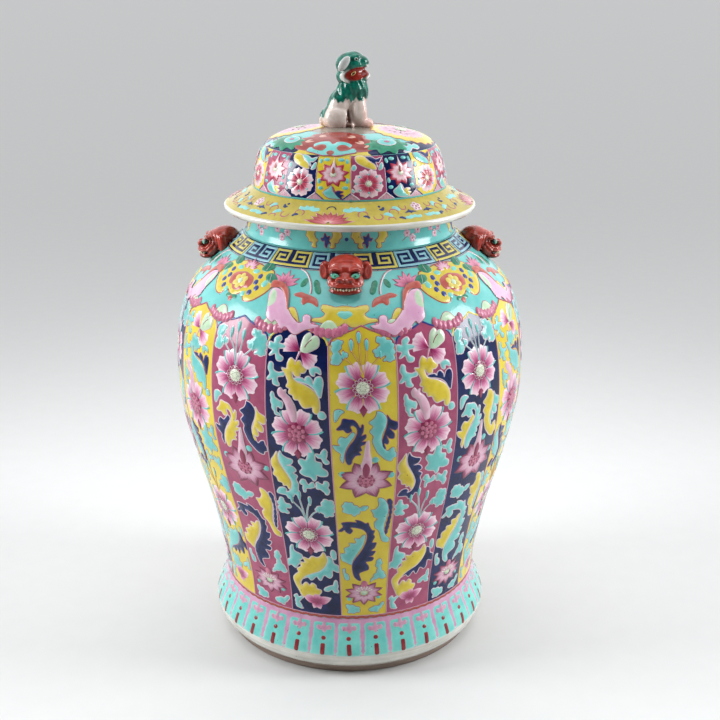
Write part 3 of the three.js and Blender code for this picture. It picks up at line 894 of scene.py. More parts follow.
def lotus(centre, size, spread, squash, count, heart):
    """A flower of pointed petals with dark tips, drawn a little flat."""
    for k in range(count):
        petal(dark_petals, centre, 360 / count * (k + 0.5), size, size * 2.25 / count, spread,
              "pointed",
              root=0.2, squash=squash)
    if heart:
        flower_heart(centre, size * (1 + squash) / 2, spread, "cluster")


STALKS_HIGH = ["0 284, -1.2 298, -3.2 309", "0 284, -0.6 300, -0.9 317", "0 284, 0.8 298, 1.4 309",
               "0 284, -2.4 294, -5.2 302.5", "0 284, 2.2 294, 5 303"]
BULBS_HIGH = [(-3.2, 314, 1.1), (-0.9, 321, 1.2), (1.4, 314, 1.1), (-5.6, 305, 0.8), (5.3, 305.5, 0.8)]
STALKS_LOW = ["0 122, -1.4 137, -4 147", "0 122, -0.8 138, -1.5 151", "0 122, 0.7 138, 1.6 147",
              "0 122, 2.4 134, 4.3 138"]
BULBS_LOW = [(-4.2, 150.5, 1.0), (-1.5, 155.5, 1.1), (1.9, 150, 1.0), (4.6, 139.5, 0.7)]
FLAME = points("-0.9 186, -1.2 194, -0.6 200, -0.1 208, 0.3 216, 1 222, 1.4 216, 1.5 208, 1.9 200, "
               "2 193, 1.5 186, 0.3 181")
FLAME_ROOT = points("-0.7 185, -0.8 192, 0.3 198, 1.6 192, 1.3 185, 0.3 180")
SLEEPY_BUD = points("-5.8 267.5, -4.9 271, -4 268.5, -3.1 269.5, -3.2 266, -1.8 262, -0.5 255, "
                    "0 248, -0.1 240, -1.7 238, -2.6 246, -3.2 254, -4.3 260.5, -5.4 263")


def stalks(lines, bulbs, up, panel):
    """Stamens that stand over a flower: thin stalks with drop-shaped ends."""
    on_yellow = GROUNDS[panel % 3] == "yellow"
    m, spread = panel_spread(panel, up)
    outline = rose_lines if on_yellow else pale_lines
    for text in lines:
        stalk = points(text) * (m, 1)
        paint_line(outline, stalk, spread, 1.6 if on_yellow else 1.9)
        paint_line(motifs["yellow" if on_yellow else "turquoise"], stalk, spread, 0.9,
                   GROUND_LIFT + 0.2, 0.2)
    for x, y, wide in bulbs:
        drop = disc(0.5 * wide * m, 5.0 * min(wide, 1.1), count=12)
        drop[:, 0] *= 1 - 0.35 * np.clip(-drop[:, 1] / 5, -1, 1)
        dab(outline, drop * 1.25, (x * m, y), spread, 0.2)
        dab(motifs["turquoise"], drop, (x * m, y), spread, 0.3, GROUND_LIFT + 0.2)


def pool_at(layer, outline, panel, thick=0.4, ground=GROUND_LIFT, line=None):
    """A given outline (degrees, millimetres) laid on one panel, with a line round it."""
    m, spread = panel_spread(panel, outline[:, 1].mean())
    shape = pool(outline * (m, 1))
    paint_pool(layer, shape, spread, thick, ground)
    if line:
        paint_outline(line, shape[3], spread, 0.6, ground)


for panel in on_panel(1):
    m, spread = panel_spread(panel, 274.4)
    stalks(STALKS_HIGH, BULBS_HIGH, 274.4, panel)
    peony((-0.2 * m, 274.4), 26, spread, "seeded")
    m, spread = panel_spread(panel, 177.2)
    lotus((0.3 * m, 177.2), 9.3 * m, spread, 0.8, 8, True)
    pool_at(pale_pink, FLAME, panel, 0.5, 0.45, pale_lines)
    pool_at(deep_rose, FLAME_ROOT, panel, 0.5, 0.75)
    for x, y in ((3.2, 200.6), (-7, 184.5), (8.3, 182)):
        dab(motifs["turquoise"], disc(3.4, count=14), (x * m, y), spread)
    m, spread = panel_spread(panel, 32.1)
    lotus((0, 32.1), 8.6 * m, spread, 0.74, 10, False)
    dab(pale_green, disc(3.6, 2.8, count=14), (0, 32.1), spread, 0.3, 0.45)
    for k in range(7):
        a = math.radians(30 + 20 * k)
        ray = np.array([[0, 32.1], [9 * math.cos(a), 32.1 + 8 * math.sin(a)]])
        paint_line(pistil, ray, spread, 0.7, 0.6, 0.15)
        dab(pistil, disc(0.8, count=8), ray[1], spread, 0.2, 0.62)
    dab(mid_pink, disc(3.6, 4.6, count=16), (0, 43.5), spread, 0.4, 0.35)
    for x, y in ((-6.5, 24.5), (6.3, 25.5)):
        dab(motifs["turquoise"], disc(2.3, count=12), (x * m, y), spread)

for panel in on_panel(0):
    m, spread = panel_spread(panel, 307.5)
    heart = (1.1 * m, 306.8)
    petal(open_petals, heart, 148, 19, 38, spread, "fan", root=0.08)
    petal(open_petals, heart, -42, 19, 33, spread, "fan", root=0.08)
    prongs = points("0.6 0, 1.2 8, 3 13.5, 6 16.5, 9 17.5, 10.5 14.5, 8 11, 12 14.5, 16 15, "
                    "18.5 11, 17.5 5, 12 1.5, 6 -1")
    shape = pool(prongs + heart)
    paint_pool(pale_green, shape, spread, 0.5, 0.3)
    paint_outline(pale_lines, shape[3], spread, 0.5, 0.3)
    paint_line(deep_rose, points("4.5 4, 7 8, 11 11.5") + heart, spread, 1.0, 0.85, 0.1)
    paint_line(pale_pink, points("0 0, -2.5 -6, -4.5 -12.5") + heart, spread, 2.4, 0.2, 0.4,
               taper=[(0, 1), (1, 0.5)])
    pool_at(pale_pink, SLEEPY_BUD, panel, 0.5, 0.25, pale_lines)
    m, spread = panel_spread(panel, 227.1)
    peony((-0.2 * m, 227.1), 26.3, spread, "rosette")
    stalks(STALKS_LOW, BULBS_LOW, 128, panel)
    m, spread = panel_spread(panel, 105.9)
    peony((0, 105.9), 24.6, spread, "seeded")
    m, spread = panel_spread(panel, 19.4)
    for angle, length, half in ((95, 13, 4.8), (25, 15.5, 5.0), (155, 15.5, 5.0), (-70, 9, 3.6),
                                (-115, 9, 3.6)):
        petal(open_petals, (0.6 * m, 18.5), angle, length, half, spread, "pointed", root=0.02)

# The rose fringe over each joint of two arches, then the raised lines that frame the panels.
SEAM_M = 2.9  # the millimetres in a degree that hold for the whole height of a seam
for panel in range(PANELS):
    joint = belly.spread(TOPS[panel], belly.per_degree(326))
    dome = pool(points("-9.5 327, -7 333, -3.5 336.5, 0 337.5, 3.5 336.5, 7 333, 9.5 327, 0 324"))
    paint_pool(pale_green, dome, joint, 0.35)
    paint_outline(rose_lines, dome[3], joint, 0.5)
    for x, y, wide in ((-15, 329.5, 3.2), (15, 329.5, 3.2), (-10.5, 326.8, 3.4), (10.5, 326.8, 3.4),
                       (-6, 325.4, 3.3), (6, 325.4, 3.3), (0, 325.0, 3.8)):
        dab(rose_lines, disc(wide + 0.5, 5.2, count=12), (x, y), joint, 0.25, 0.3)
        dab(mid_pink, disc(wide, 4.6, count=12), (x, y), joint, 0.35, 0.5)
    ground = GROUNDS[panel % 3]
    arch_layer = {"yellow": rose_lines, "rose": arch_blue, "navy": arch_yellow}[ground]
    xs = np.concatenate([np.linspace(-9.9, 0, 16), np.linspace(0.6, 9.9, 15)])
    crown = np.stack([xs, arch_at(xs) + 0.3], -1)
    m, spread = panel_spread(panel, 320)
    paint_line(arch_layer, crown * (m, 1), spread, 1.9, GROUND_LIFT + 0.05, 0.35, step=0)
    seam = np.stack([np.full(60, -10 * SEAM_M), np.linspace(PANEL_FOOT, 317, 60)], -1)
    paint_line(panel_edges, seam, lambda x, y, lift: belly.at(
        panel_turn(panel, x / SEAM_M, y), y, lift), 1.25, GROUND_LIFT, 0.3, step=0)

ring = np.linspace(0, 360, 1080, endpoint=False)


def ring_line(layer, skin, up, width, ground=0.1, raised=0.25, wave=0.0, waves=0):
    """A brushed line all the way round."""
    ups = up + wave * np.sin(np.radians(ring * waves))
    places = []
    for side, high in ((-1, -0.05), (-0.45, raised), (0.45, raised), (1, -0.05)):
        places.append(skin.at(ring, ups + side * width / 2, ground + high))
    layer.add(np.vstack(places), grid_faces(4, len(ring), closed=True))


ring_line(panel_edges, belly, PANEL_FOOT, 1.5)
ring_line(iron_lines, belly, 1.7, 3.0, ground=0.3, wave=0.6, waves=90)

for name, slot in (("turquoise", "turquoise_enamel"), ("yellow", "yellow_enamel"),
                   ("navy", "navy_enamel")):
    motifs[name].make("leaves_" + name, ENAMELS[name], "jar", slot)
pale_line = plain_enamel("pale_outline_enamel", "#dcc8cf")
rose_line = plain_enamel("rose_outline_enamel", "#ab5a69")
pink_line = plain_enamel("pink_line_enamel", "#cb92a6")
iron_line = plain_enamel("iron_red_line", "#a9483c")
blue_line = plain_enamel("blue_line_enamel", "#2c3f86")
yellow_line = plain_enamel("yellow_line_enamel", "#d9c552")
ink_line = plain_enamel("black_ink_line", "#3b3a32")
heart_rose = plain_enamel("deep_rose_enamel", "#8c2c50", 0.18)
bead_pink = enamel("pink_bead_enamel", "#c9758f", "#b65c7c", "#e0a6b8", cloud=6)
soft_pink = enamel("pale_pink_enamel", "#dfb4c4", "#cf95ad", "#eed6df", cloud=10)
seed_green = plain_enamel("pale_seed_enamel", "#dbe2ca", 0.3)
fold_green = enamel("pale_green_enamel", "#c5dcbc", "#aecfa8", "#dfe9d8", cloud=8)
open_pink = petal_enamel("peony_petal_enamel", [
    (0.0, "#861e4a"), (0.28, "#a23668"), (0.48, "#c86894"), (0.7, "#e2a2bd"), (1.0, "#f6dde6")], 0.14)
dark_pink = petal_enamel("lotus_petal_enamel", [
    (0.05, "#b5698b"), (0.25, "#deb6c6"), (0.55, "#cb8ea9"), (0.78, "#93375d"), (1.05, "#6c1b3b")],
                         0.42)
for layer, title, material, slot in (
        (pale_lines, "outlines_pale", pale_line, "pink_enamel"),
        (rose_lines, "outlines_rose", rose_line, "rose_enamel"),
        (panel_edges, "panel_edges", pink_line, "pink_enamel"),
        (iron_lines, "foot_wave_line", iron_line, "iron_red_enamel"),
        (arch_blue, "arch_lines_blue", blue_line, "navy_enamel"),
        (arch_yellow, "arch_lines_yellow", yellow_line, "yellow_enamel"),
        (open_petals, "peony_petals", open_pink, "pink_enamel"),
        (dark_petals, "lotus_petals", dark_pink, "pink_enamel"),
        (pale_pink, "buds_pale_pink", soft_pink, "pink_enamel"),
        (mid_pink, "flower_beads", bead_pink, "pink_enamel"),
        (deep_rose, "flower_hearts", heart_rose, "rose_enamel"),
        (pistil, "flower_seeds", seed_green, "white_glaze"),
        (pale_green, "folded_petals", fold_green, "green_enamel"),
        (ink, "seed_ink", ink_line, "navy_enamel")):
    layer.make(title, material, "jar", slot)


# ---- The border on the foot ----
# A band of turquoise lappets split by pink stripes, with a pink cloud, a red dot and a red bar in
# each, brushed over the clear glaze below the waist.
LAPPETS = 33
FOOT_UP = float(foot_skin.up[-1])
foot_turquoise, foot_pink, foot_red, foot_clouds = (Layer() for _ in range(4))
FOOT_M = 145 * DEGREE
lappet_half = 180 / LAPPETS * FOOT_M
turns = np.linspace(0, 360, 720, endpoint=False)


def paint_band(layer, skin, ups, lifts):
    """Enamel all the way round a piece, in rows with the same lift all round."""
    shape = (len(ups), len(turns))
    ups, lifts = (np.broadcast_to(np.array(row, float)[:, None], shape) for row in (ups, lifts))
    layer.add(skin.at(turns, ups, lifts).reshape(-1, 3), grid_faces(*shape, closed=True))


for k in range(LAPPETS):
    spread = foot_skin.spread(360 / LAPPETS * k + random.uniform(-0.3, 0.3), FOOT_M, FOOT_UP)
    low = -38.6 + random.uniform(-0.5, 0.5)
    wide = lappet_half - 1.0 + random.uniform(-0.3, 0.3)
    rows = np.linspace(0, 1, 16)[:, None]
    columns = np.linspace(-1, 1, 9)[None]
    y = low + (-4.0 - low) * rows + 0 * columns
    x = wide * columns * (1 - 0.06 * np.clip((rows - 0.85) / 0.15, 0, 1)) + 0 * rows
    lift = np.where(np.abs(columns) > 0.99, 0.05, 0.4) * np.where((rows > 0.01) & (rows < 0.99), 1, 0.1)
    places = spread(x, y, lift).reshape(-1, 3)
    foot_turquoise.add(places, grid_faces(16, 9), rim=np.minimum(1, (lift / 0.4)).ravel())
    cloud = pool(points("-8.4 -10, -6.2 -7.6, -2.8 -8.6, -1 -4.2, 1.4 -4.2, 2.4 -8.4, 5.6 -7, "
                        "8.2 -9.4, 6.8 -12.4, 3.4 -12.4, 0.8 -15.8, -2.4 -13, -6 -13.2"), spacing=4)
    paint_pool(foot_clouds, cloud, spread, 0.3, 0.35)
    sway = random.uniform(-0.6, 0.6)
    dab(foot_red, disc(2.5, 2.2, 14), (sway, -20.5 + random.uniform(-0.6, 0.6)), spread, 0.3, 0.4)
    bar = np.array([[sway * 0.5, -26.5], [sway * 0.2, -32], [-sway, -38.2]])
    paint_line(foot_red, bar, spread, 4.9, 0.4, 0.3, step=1.5,
               taper=[(0, 0.75), (0.1, 1), (0.9, 1), (1, 0.6)])
paint_band(foot_pink, foot_skin,
           [FOOT_UP + up for up in (-38.4, -34, -28, -22, -16, -10, -5, -2.6, -0.2)],
           [0.02, *[0.16] * 7, 0.1])
foot_turquoise.make("lappets_turquoise",
                    enamel("lappet_turquoise_enamel", "#8adcd0", "#6ecac2", "#bcebe2", cloud=12),
                    "jar", "turquoise_enamel")
foot_pink.make("lappet_stripes_pink", enamel("stripe_pink_enamel", "#dcaac6", "#cc92b4", "#eed2e0",
                                             cloud=14),
               "jar", "pink_enamel")
foot_clouds.make("lappet_clouds", enamel("cloud_pink_enamel", "#d39ab3", "#c07fa0", "#e6c4d2", cloud=7),
                 "jar", "pink_enamel")
foot_red.make("lappet_marks", enamel("lappet_red_enamel", "#a23a3e", "#862a33", "#c77472", cloud=6),
              "jar", "iron_red_enamel")


# ---- The shoulder ----
# Turquoise ground under a hanging collar: ruffled pink drapes, coral feathers, yellow clouds and
# round coral flowers, drawn four times round the jar and mirrored about each lion mask.
MASK_TURNS = (-1.6, 88.4, 178.4, 268.4)
CLOUD_TURNS = tuple(turn + 45 for turn in MASK_TURNS)
shoulder = {name: Layer() for name in (
    "yellow", "navy", "turquoise", "pink", "coral", "green", "pale_green", "rose", "mid_pink",
    "rose_line", "coral_line", "pale_line")}


def mirrored(text):
    """A whole outline from its half, given from the axis round to the axis."""
    half = points(text)
    other = half[::-1] * (-1, 1)
    return np.vstack([half, other[np.abs(other[:, 0]) > 0.05]])


def on_shoulder(name, outline, turns, thick=0.35, ground=0.05, line=None, both=True, step=1.2,
                width=0.5):
    """Lays an outline (degrees, millimetres up the side) at each turn, and mirrored if both."""
    outline = points(outline) if isinstance(outline, str) else outline
    m = belly.per_degree(outline[:, 1].mean())
    for sign in (1, -1) if both else (1,):
        shape = pool(outline * (sign * m, 1), step)
        for spread in [belly.spread(turn, m) for turn in turns]:
            paint_pool(shoulder[name], shape, spread, thick, ground)
            if line:
                paint_outline(shoulder[line], shape[3], spread, width, ground)


def line_on_shoulder(name, text, turns, width, ground=0.1):
    """Lays a line (degrees, millimetres up the side) at each turn, and mirrored."""
    given = points(text)
    m = belly.per_degree(given[:, 1].mean())
    for sign in (1, -1):
        for turn in turns:
            paint_line(shoulder[name], given * (sign * m, 1), belly.spread(turn, m), width,
                       ground)


def petals_on_shoulder(name, where, turns, angles, length, half, both=True, ground=0.2):
    """A half flower: pointed petals that fan from one place."""
    m = belly.per_degree(where[1])
    for sign in (1, -1) if both else (1,):
        for turn in turns:
            for k, angle in enumerate(angles):
                petal(shoulder[name], (sign * where[0] * m, where[1]),
                      angle if sign > 0 else 180 - angle, length * (1 if k % 2 else 0.86),
                      0.78 * half, belly.spread(turn, m), "pointed", root=0.15, ground=ground,
                      puff=0.35)


on_shoulder("coral", "9.3 353.4, 10.3 358.5, 12.4 361.1, 14.9 363, 16.6 364.2, 18.9 361.7, "
            "18.3 359.2, 15.8 357.9, 15.5 353.4, 14.5 350.9, 13.3 353.4, 11.6 352.8, 9.5 349.6",
            MASK_TURNS)
line_on_shoulder("pale_line", "12.9 363, 13.3 371.2, 14.9 380.2, 17 386.5, 19.7 389.7", MASK_TURNS, 1.5)
line_on_shoulder("coral_line", "12.6 363, 13 371.2, 14.6 380.2, 16.7 386.7, 19.4 390", MASK_TURNS, 0.5,
                 0.3)
for x, y, lean in ((11.2, 373.5, 1), (16.3, 374.5, -1), (10.4, 368, 1)):
    leaf = disc(1.3, 5.2, 14)
    leaf = np.stack([leaf[:, 0] + lean * leaf[:, 1] * 0.1 + x, leaf[:, 1] + y], -1)
    on_shoulder("green", leaf, MASK_TURNS, 0.3)
on_shoulder("yellow", mirrored("0 351.4, 1 351.5, 3.3 350.2, 4.9 351.5, 7.8 352.2, 8 347.1, "
                               "6.6 343.2, 7.8 339.4, 10.3 338.2, 10.8 335.6, 7.8 334.3, "
                               "4.9 331.5, 2.4 330.5, 0.8 333.3, 0 334.3"),
            MASK_TURNS, line="rose_line", both=False)
on_shoulder("turquoise", mirrored("0 346, 1.4 346.4, 2.6 343.2, 1.4 339.8, 0 338.2"), MASK_TURNS, 0.3,
            0.35, both=False)
on_shoulder("yellow", "14.9 333.1, 15.8 340.7, 17.4 347.1, 19.1 347.1, 19.5 343.2, 18.7 339.4, "
            "16.6 336.9",
            MASK_TURNS, line="rose_line")
on_shoulder("pink", "11.2 339.4, 12.6 341.3, 13.7 339.4, 13.7 334.3, 15.3 333.1, 17.8 339.4, "
            "19.5 345.8, 20.8 353.4, 22.8 361.1, 25.3 364.9, 27.8 364.9, 28.7 358.5, 27.4 345.8, "
            "26.6 335.6, 24.1 330.5, 23.3 333.1, 22 330.5, 20.3 325.4, 19.1 328, 15.8 321.6, "
            "12.4 326.7, 9.1 329.2, 8.3 331.8, 10.8 333.1", MASK_TURNS, 0.35, 0.62, "rose_line",
            width=0.4)
on_shoulder("pale_green", "25.3 358.5, 26.2 362.3, 27.8 363.6, 28 356, 27.4 345.8, 26.2 345.8, "
            "24.9 350.9",
            MASK_TURNS, 0.12, 0.9)
on_shoulder("coral", "19.3 342, 20.1 353.4, 21.2 363.6, 23.3 370, 25.3 372.5, 29.1 373.2, "
            "29.7 368.7, 29.1 364.9, 25.7 366.2, 23.3 362.3, 21.2 353.4, 19.9 344.5", MASK_TURNS, 0.35,
            0.9)
petals_on_shoulder("rose", (24.6, 370.5), MASK_TURNS, (10, 38, 66, 94, 122, 150, 172), 17, 3.2)

on_shoulder("yellow", mirrored("0 387.5, -3 388.3, -6.8 386.5, -10.1 384, -13.4 382.7, "
                               "-15.1 375.1, -16.2 370, -15.7 364.9, -14.6 360, -13.4 356, "
                               "-10.1 348.3, -6.8 346.4, -5.2 350.9, -3.6 353.5, -1.5 350, "
                               "0 349")[::-1], CLOUD_TURNS, 0.3, 0.12, "coral_line", both=False,
            width=1.0)
on_shoulder("coral", mirrored("0 375.5, -2.6 374.2, -5.4 371.6, -6.4 366, -5.4 360.2, -3.2 359.4, "
                              "-2 356.2, 0 354.8")[::-1], CLOUD_TURNS, 0.3, 0.4, "rose_line",
            both=False, width=0.6)
for where in around((0, 365.2), 2.4, 6, 30, 5.6 / 2.4):
    on_shoulder("yellow", disc(1.3, 3.3, 10) + where, CLOUD_TURNS, 0.25, 0.75, both=False, step=0)
on_shoulder("pale_green", disc(1.15, 2.8, 12) + (0, 365.2), CLOUD_TURNS, 0.3, 0.9, both=False, step=0)
for x, y in ((8.0, 367.4), (9.6, 361.4), (7.4, 355.6), (8.6, 374.5)):
    on_shoulder("navy", disc(1.15, 3.1, 10) + (x, y), CLOUD_TURNS, 0.3, 0.42, step=0)
for outline in ("11.8 371.5, 13.2 370.4, 13.6 366.5, 12.2 363.6, 10.9 366.2",
                "3.3 379.5, 5 381.6, 6.8 380, "
                "6.2 377, 4 376.6", "3.6 353.4, 5.2 356, 5.9 351.8, 4.5 349.7"):
    on_shoulder("turquoise", outline, CLOUD_TURNS, 0.3, 0.4)
for x, y, lean in ((9.8, 386, 0.13), (14.2, 374.5, -0.2)):
    leaf = disc(2.9, 5.6, 14)
    leaf = np.stack([leaf[:, 0] + lean * leaf[:, 1] + x, leaf[:, 1] + y], -1)
    on_shoulder("green", leaf, CLOUD_TURNS, 0.35, 0.5)
    line_on_shoulder("pale_line", f"{x} {y - 4}, {x + lean * 4} {y + 4}", CLOUD_TURNS, 0.5, 0.9)
petals_on_shoulder("mid_pink", (0, 381.5), CLOUD_TURNS, (8, 34, 61, 90, 119, 146, 172), 12, 2.6,
                   both=False, ground=0.5)
on_shoulder("coral", "-0.7 349.5, 0.7 349.5, 1.1 345.6, 0 341.6, -1.1 345.6", CLOUD_TURNS, 0.3, 0.1,
            both=False)
on_shoulder("green", "0 349, 1.8 350.4, 2.9 347.6, 2 345.4, 0.7 346.6", CLOUD_TURNS, 0.3, 0.3)

# The key fret: yellow and pale blue pairs of spirals on a blue band.
FRET_LOW, FRET_HIGH = 391.0, 410.7
fret_ground, fret_yellow, fret_blue = Layer(), Layer(), Layer()
paint_band(fret_ground, belly, [
    FRET_LOW - 0.9, FRET_LOW - 0.4, *np.linspace(FRET_LOW + 2, FRET_HIGH - 2, 8), FRET_HIGH + 0.4,
    FRET_HIGH + 0.9], [0.0, *[0.18] * 10, 0.0])
SPIRAL = np.array([(0, 0), (1, 0), (1, 1), (0.15, 1), (0.15, 0.32), (0.72, 0.32), (0.72, 0.66),
                   (0.42, 0.66)])
STROKE = 2.7
SPIRAL_WIDE, SPIRAL_TALL = 8.6, FRET_HIGH - FRET_LOW - STROKE - 0.8
m = belly.per_degree(400)
for pair in range(18):
    for side in (-1, 1):
        across = 11.7 + 20 * pair + side * (0.55 + SPIRAL_WIDE * SPIRAL[:, 0])
        corners = np.stack([across * m, FRET_LOW + 0.4 + STROKE / 2 + SPIRAL_TALL * SPIRAL[:, 1]], -1)
        for start, end in zip(corners, corners[1:]):
            more = (end - start) / np.linalg.norm(end - start) * STROKE / 2
            paint_line(fret_blue if pair % 2 else fret_yellow, [start - more, end + more],
                       belly.spread(0, m), STROKE, 0.18, 0.3, step=2.5)
ring_line(shoulder["rose_line"], belly, 413.2, 1.3)
ring_line(shoulder["rose_line"], belly, 389.3, 0.7)

shoulder_yellow = enamel("shoulder_yellow_enamel", "#dcc744", "#cbb337", "#e6dc95", cloud=12)
shoulder_finish = {
    "yellow": ("clouds_yellow", shoulder_yellow, "yellow_enamel"),
    "navy": ("berries_blue", blue_line, "navy_enamel"),
    "turquoise": ("cloud_gaps", plain_enamel("gap_turquoise_enamel", "#79cabf"), "turquoise_enamel"),
    "pink": ("drapes_pink", enamel("drape_pink_enamel", "#e6b8d0", "#d9a0c2", "#f0d6e2", cloud=16),
             "pink_enamel"),
    "coral": ("feathers_coral", enamel("coral_enamel", "#c0584c", "#a8453e", "#d88a7e", cloud=9),
              "iron_red_enamel"),
    "green": ("leaves_green", enamel("leaf_green_enamel", "#1a7f60", "#0e664c", "#5fae90", cloud=6),
              "green_enamel"),
    "pale_green": ("drape_linings", fold_green, "green_enamel"),
    "rose": ("half_lotus_rose", petal_enamel("half_lotus_enamel", [
        (0.0, "#9c3a5e"), (0.4, "#cf7292"), (0.7, "#d98aa6"), (1.0, "#a83c64")], 0.4), "rose_enamel"),
    "mid_pink": ("half_lotus_pink", petal_enamel("striped_lotus_enamel", [
        (0.0, "#e5bccb"), (0.4, "#dba0b6"), (0.75, "#c05f84"), (1.0, "#993a63")], 0.45), "pink_enamel"),
    "rose_line": ("shoulder_lines_rose", rose_line, "rose_enamel"),
    "coral_line": ("shoulder_lines_coral", iron_line, "iron_red_enamel"),
    "pale_line": ("shoulder_lines_pale", pale_line, "pink_enamel"),
}
for name, (title, material, slot) in shoulder_finish.items():
    shoulder[name].make(title, material, "jar", slot)
fret_ground.make("fret_ground", enamel("fret_blue_enamel", "#1d2960", "#131a45", "#3c4c9a", cloud=9,
                                       gloss=0.1),
                 "jar", "navy_enamel")
fret_yellow.make("fret_yellow", plain_enamel("fret_yellow_enamel", "#d8c862"), "jar", "yellow_enamel")
fret_blue.make("fret_pale_blue", plain_enamel("fret_pale_blue_enamel", "#8fc3d0"), "jar",
               "turquoise_enamel")


# ---- The neck ----
# A short thrown neck under the lid: turquoise outside, with small sprays of plum and leaf tips,
# bare white glaze inside, and a plain rim that the lid's brim rests on.
NECK_CURVE = [(108.6, NECK_BASE), (106, 451), (105.2, 462), (104.6, 474.5)]
NECK_BORE = 95
NECK_TOP = 474.8
neck = Turned(NECK_CURVE)
neck_outline = [*zip(neck.r, neck.z), (103.6, NECK_TOP), (100, NECK_TOP), (96, NECK_TOP),
                (NECK_BORE, 473.8), (NECK_BORE, 460), (NECK_BORE + 0.4, 450), (99.1, NECK_BASE)]
painted_rows = len(neck.r) - 2
neck_piece = turn_on_wheel("neck", neck_outline, [turquoise, white_glaze], "jar",
                           [0] * painted_rows + [1] * (len(neck_outline) - painted_rows))
mark_piece(neck_piece, rim=1.0)
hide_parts("neck_ring")
sprays = {name: Layer() for name in ("yellow", "navy", "pink", "rose_line")}
NECK_M = 106 * DEGREE
LEAF_TIP = points("0 26, 1.5 20, 0.6 15, 3 12.5, 4.4 9, 7.6 8.6, 6.8 5.6, 8.6 3.4, 12 4, 11 8, "
                  "13.2 11, 10.6 13.6, 9.6 18, 12 22, 11.4 26") * (1, 0.95)
SPRIG = points("-4 8, -2 11, -2.6 15, 0.2 14, 2.6 17.5, 4 13, 6.6 12.6, 5 9.6, 2.8 10.2, 2.4 6, "
               "0.6 3.4, -0.6 7.4")
for spread in [neck.spread(turn, NECK_M) for turn in MASK_TURNS]:
    for sign in (1, -1):
        for x, outline, name in (
                (2, LEAF_TIP, "yellow"), (10, SPRIG, "navy"), (22, LEAF_TIP * (-1, 1), "yellow")):
            shape = pool(outline * (sign, 1) + (sign * x * NECK_M, 0))
            paint_pool(sprays[name], shape, spread, 0.3, 0.05)
            paint_outline(sprays["rose_line"], shape[3], spread, 0.45, 0.05)
        for x, y in ((33, 15), (36.5, 9.5), (40, 17), (37, 22)):
            blossom = (sign * x * NECK_M, y)
            for where in around(blossom, 2.2, 5, 90):
                dab(sprays["pink"], disc(1.9, count=10), where, spread, 0.3, 0.05)
            dab(sprays["rose_line"], disc(1.1, count=10), blossom, spread, 0.15, 0.38)
        branch = points("30 8, 35 13, 41 14") * (sign * NECK_M, 1)
        paint_line(sprays["rose_line"], branch, spread, 0.7, 0.02)
    dab(sprays["navy"], disc(1.9, count=12), (0, 12.0), spread, 0.3, 0.05)
sprays["yellow"].make("neck_leaf_tips", shoulder_yellow, "jar", "yellow_enamel")
sprays["navy"].make("neck_sprigs", blue_line, "jar", "navy_enamel")
sprays["pink"].make("neck_blossoms", soft_pink, "jar", "pink_enamel")
sprays["rose_line"].make("neck_lines", rose_line, "jar", "rose_enamel")


# ---- The four lion masks ----
# Pressed in moulds and luted to the shoulder, then covered in glossy iron red that thins to pink on
# the high edges, with painted highlight there too, and pools nearly brown in the folds, with painted
# shade there and in the mouth, the nostrils and under the jaw. Green eyes and a row of small cream
# teeth.
def half_turn(vector, axis, degrees):
    """Turns an Nx3 array about x, y or z."""
    a = math.radians(degrees)
    i, j = {"x": (1, 2), "y": (2, 0), "z": (0, 1)}[axis]
    turned = vector.copy()
    turned[:, i] = vector[:, i] * math.cos(a) - vector[:, j] * math.sin(a)
    turned[:, j] = vector[:, i] * math.sin(a) + vector[:, j] * math.cos(a)
    return turned


def lump(centre, half, tip=0.0, yaw=0.0, fine=24):
    """A rounded lump of clay: an ellipsoid as places and faces, tipped about y and then z."""
    rows = fine // 2
    a = np.linspace(0, np.pi, rows + 1)[:, None]
    b = np.linspace(0, 2 * np.pi, fine, endpoint=False)[None]
    ball = np.stack([np.sin(a) * np.cos(b), np.sin(a) * np.sin(b), np.cos(a) + 0 * b],
                    -1).reshape(-1, 3)
    places = half_turn(half_turn(ball * half, "y", tip), "z", yaw) + centre
    faces = [tuple(reversed(f)) for f in grid_faces(rows + 1, fine, closed=True)]
    return places, faces


def press(lumps, voxel, rounds):
    """Presses lumps (in millimetres) into one skin. Returns its places, faces and normals."""
    places, faces, count = [], [], 0
    for one in lumps:
        more, quads = lump(*one)
        places.append(more)
        faces.extend(tuple(n + count for n in quad) for quad in quads)
        count += len(more)
    mesh = bpy.data.meshes.new("pressing")
    mesh.from_pydata((np.vstack(places) * MM).tolist(), [], faces)
    mesh.validate()
    rough = bpy.data.objects.new("pressing", mesh)
    bpy.context.collection.objects.link(rough)
    skin = rough.modifiers.new("skin", "REMESH")
    skin.mode = "VOXEL"
    skin.voxel_size = voxel * MM
    soften = rough.modifiers.new("soften", "SMOOTH")
    soften.factor = 0.5
    soften.iterations = rounds
    graph = bpy.context.evaluated_depsgraph_get()
    done = bpy.data.meshes.new_from_object(rough.evaluated_get(graph))
    found = np.empty(len(done.vertices) * 3)
    done.vertices.foreach_get("co", found)
    normals = np.empty(len(done.vertices) * 3)
    done.vertices.foreach_get("normal", normals)
    faces = [tuple(face.vertices) for face in done.polygons]
    edges = np.array([tuple(edge.vertices) for edge in done.edges])
    bpy.data.objects.remove(rough)
    bpy.data.meshes.remove(done)
    bpy.data.meshes.remove(mesh)
    return found.reshape(-1, 3) / MM, faces, normals.reshape(-1, 3), edges


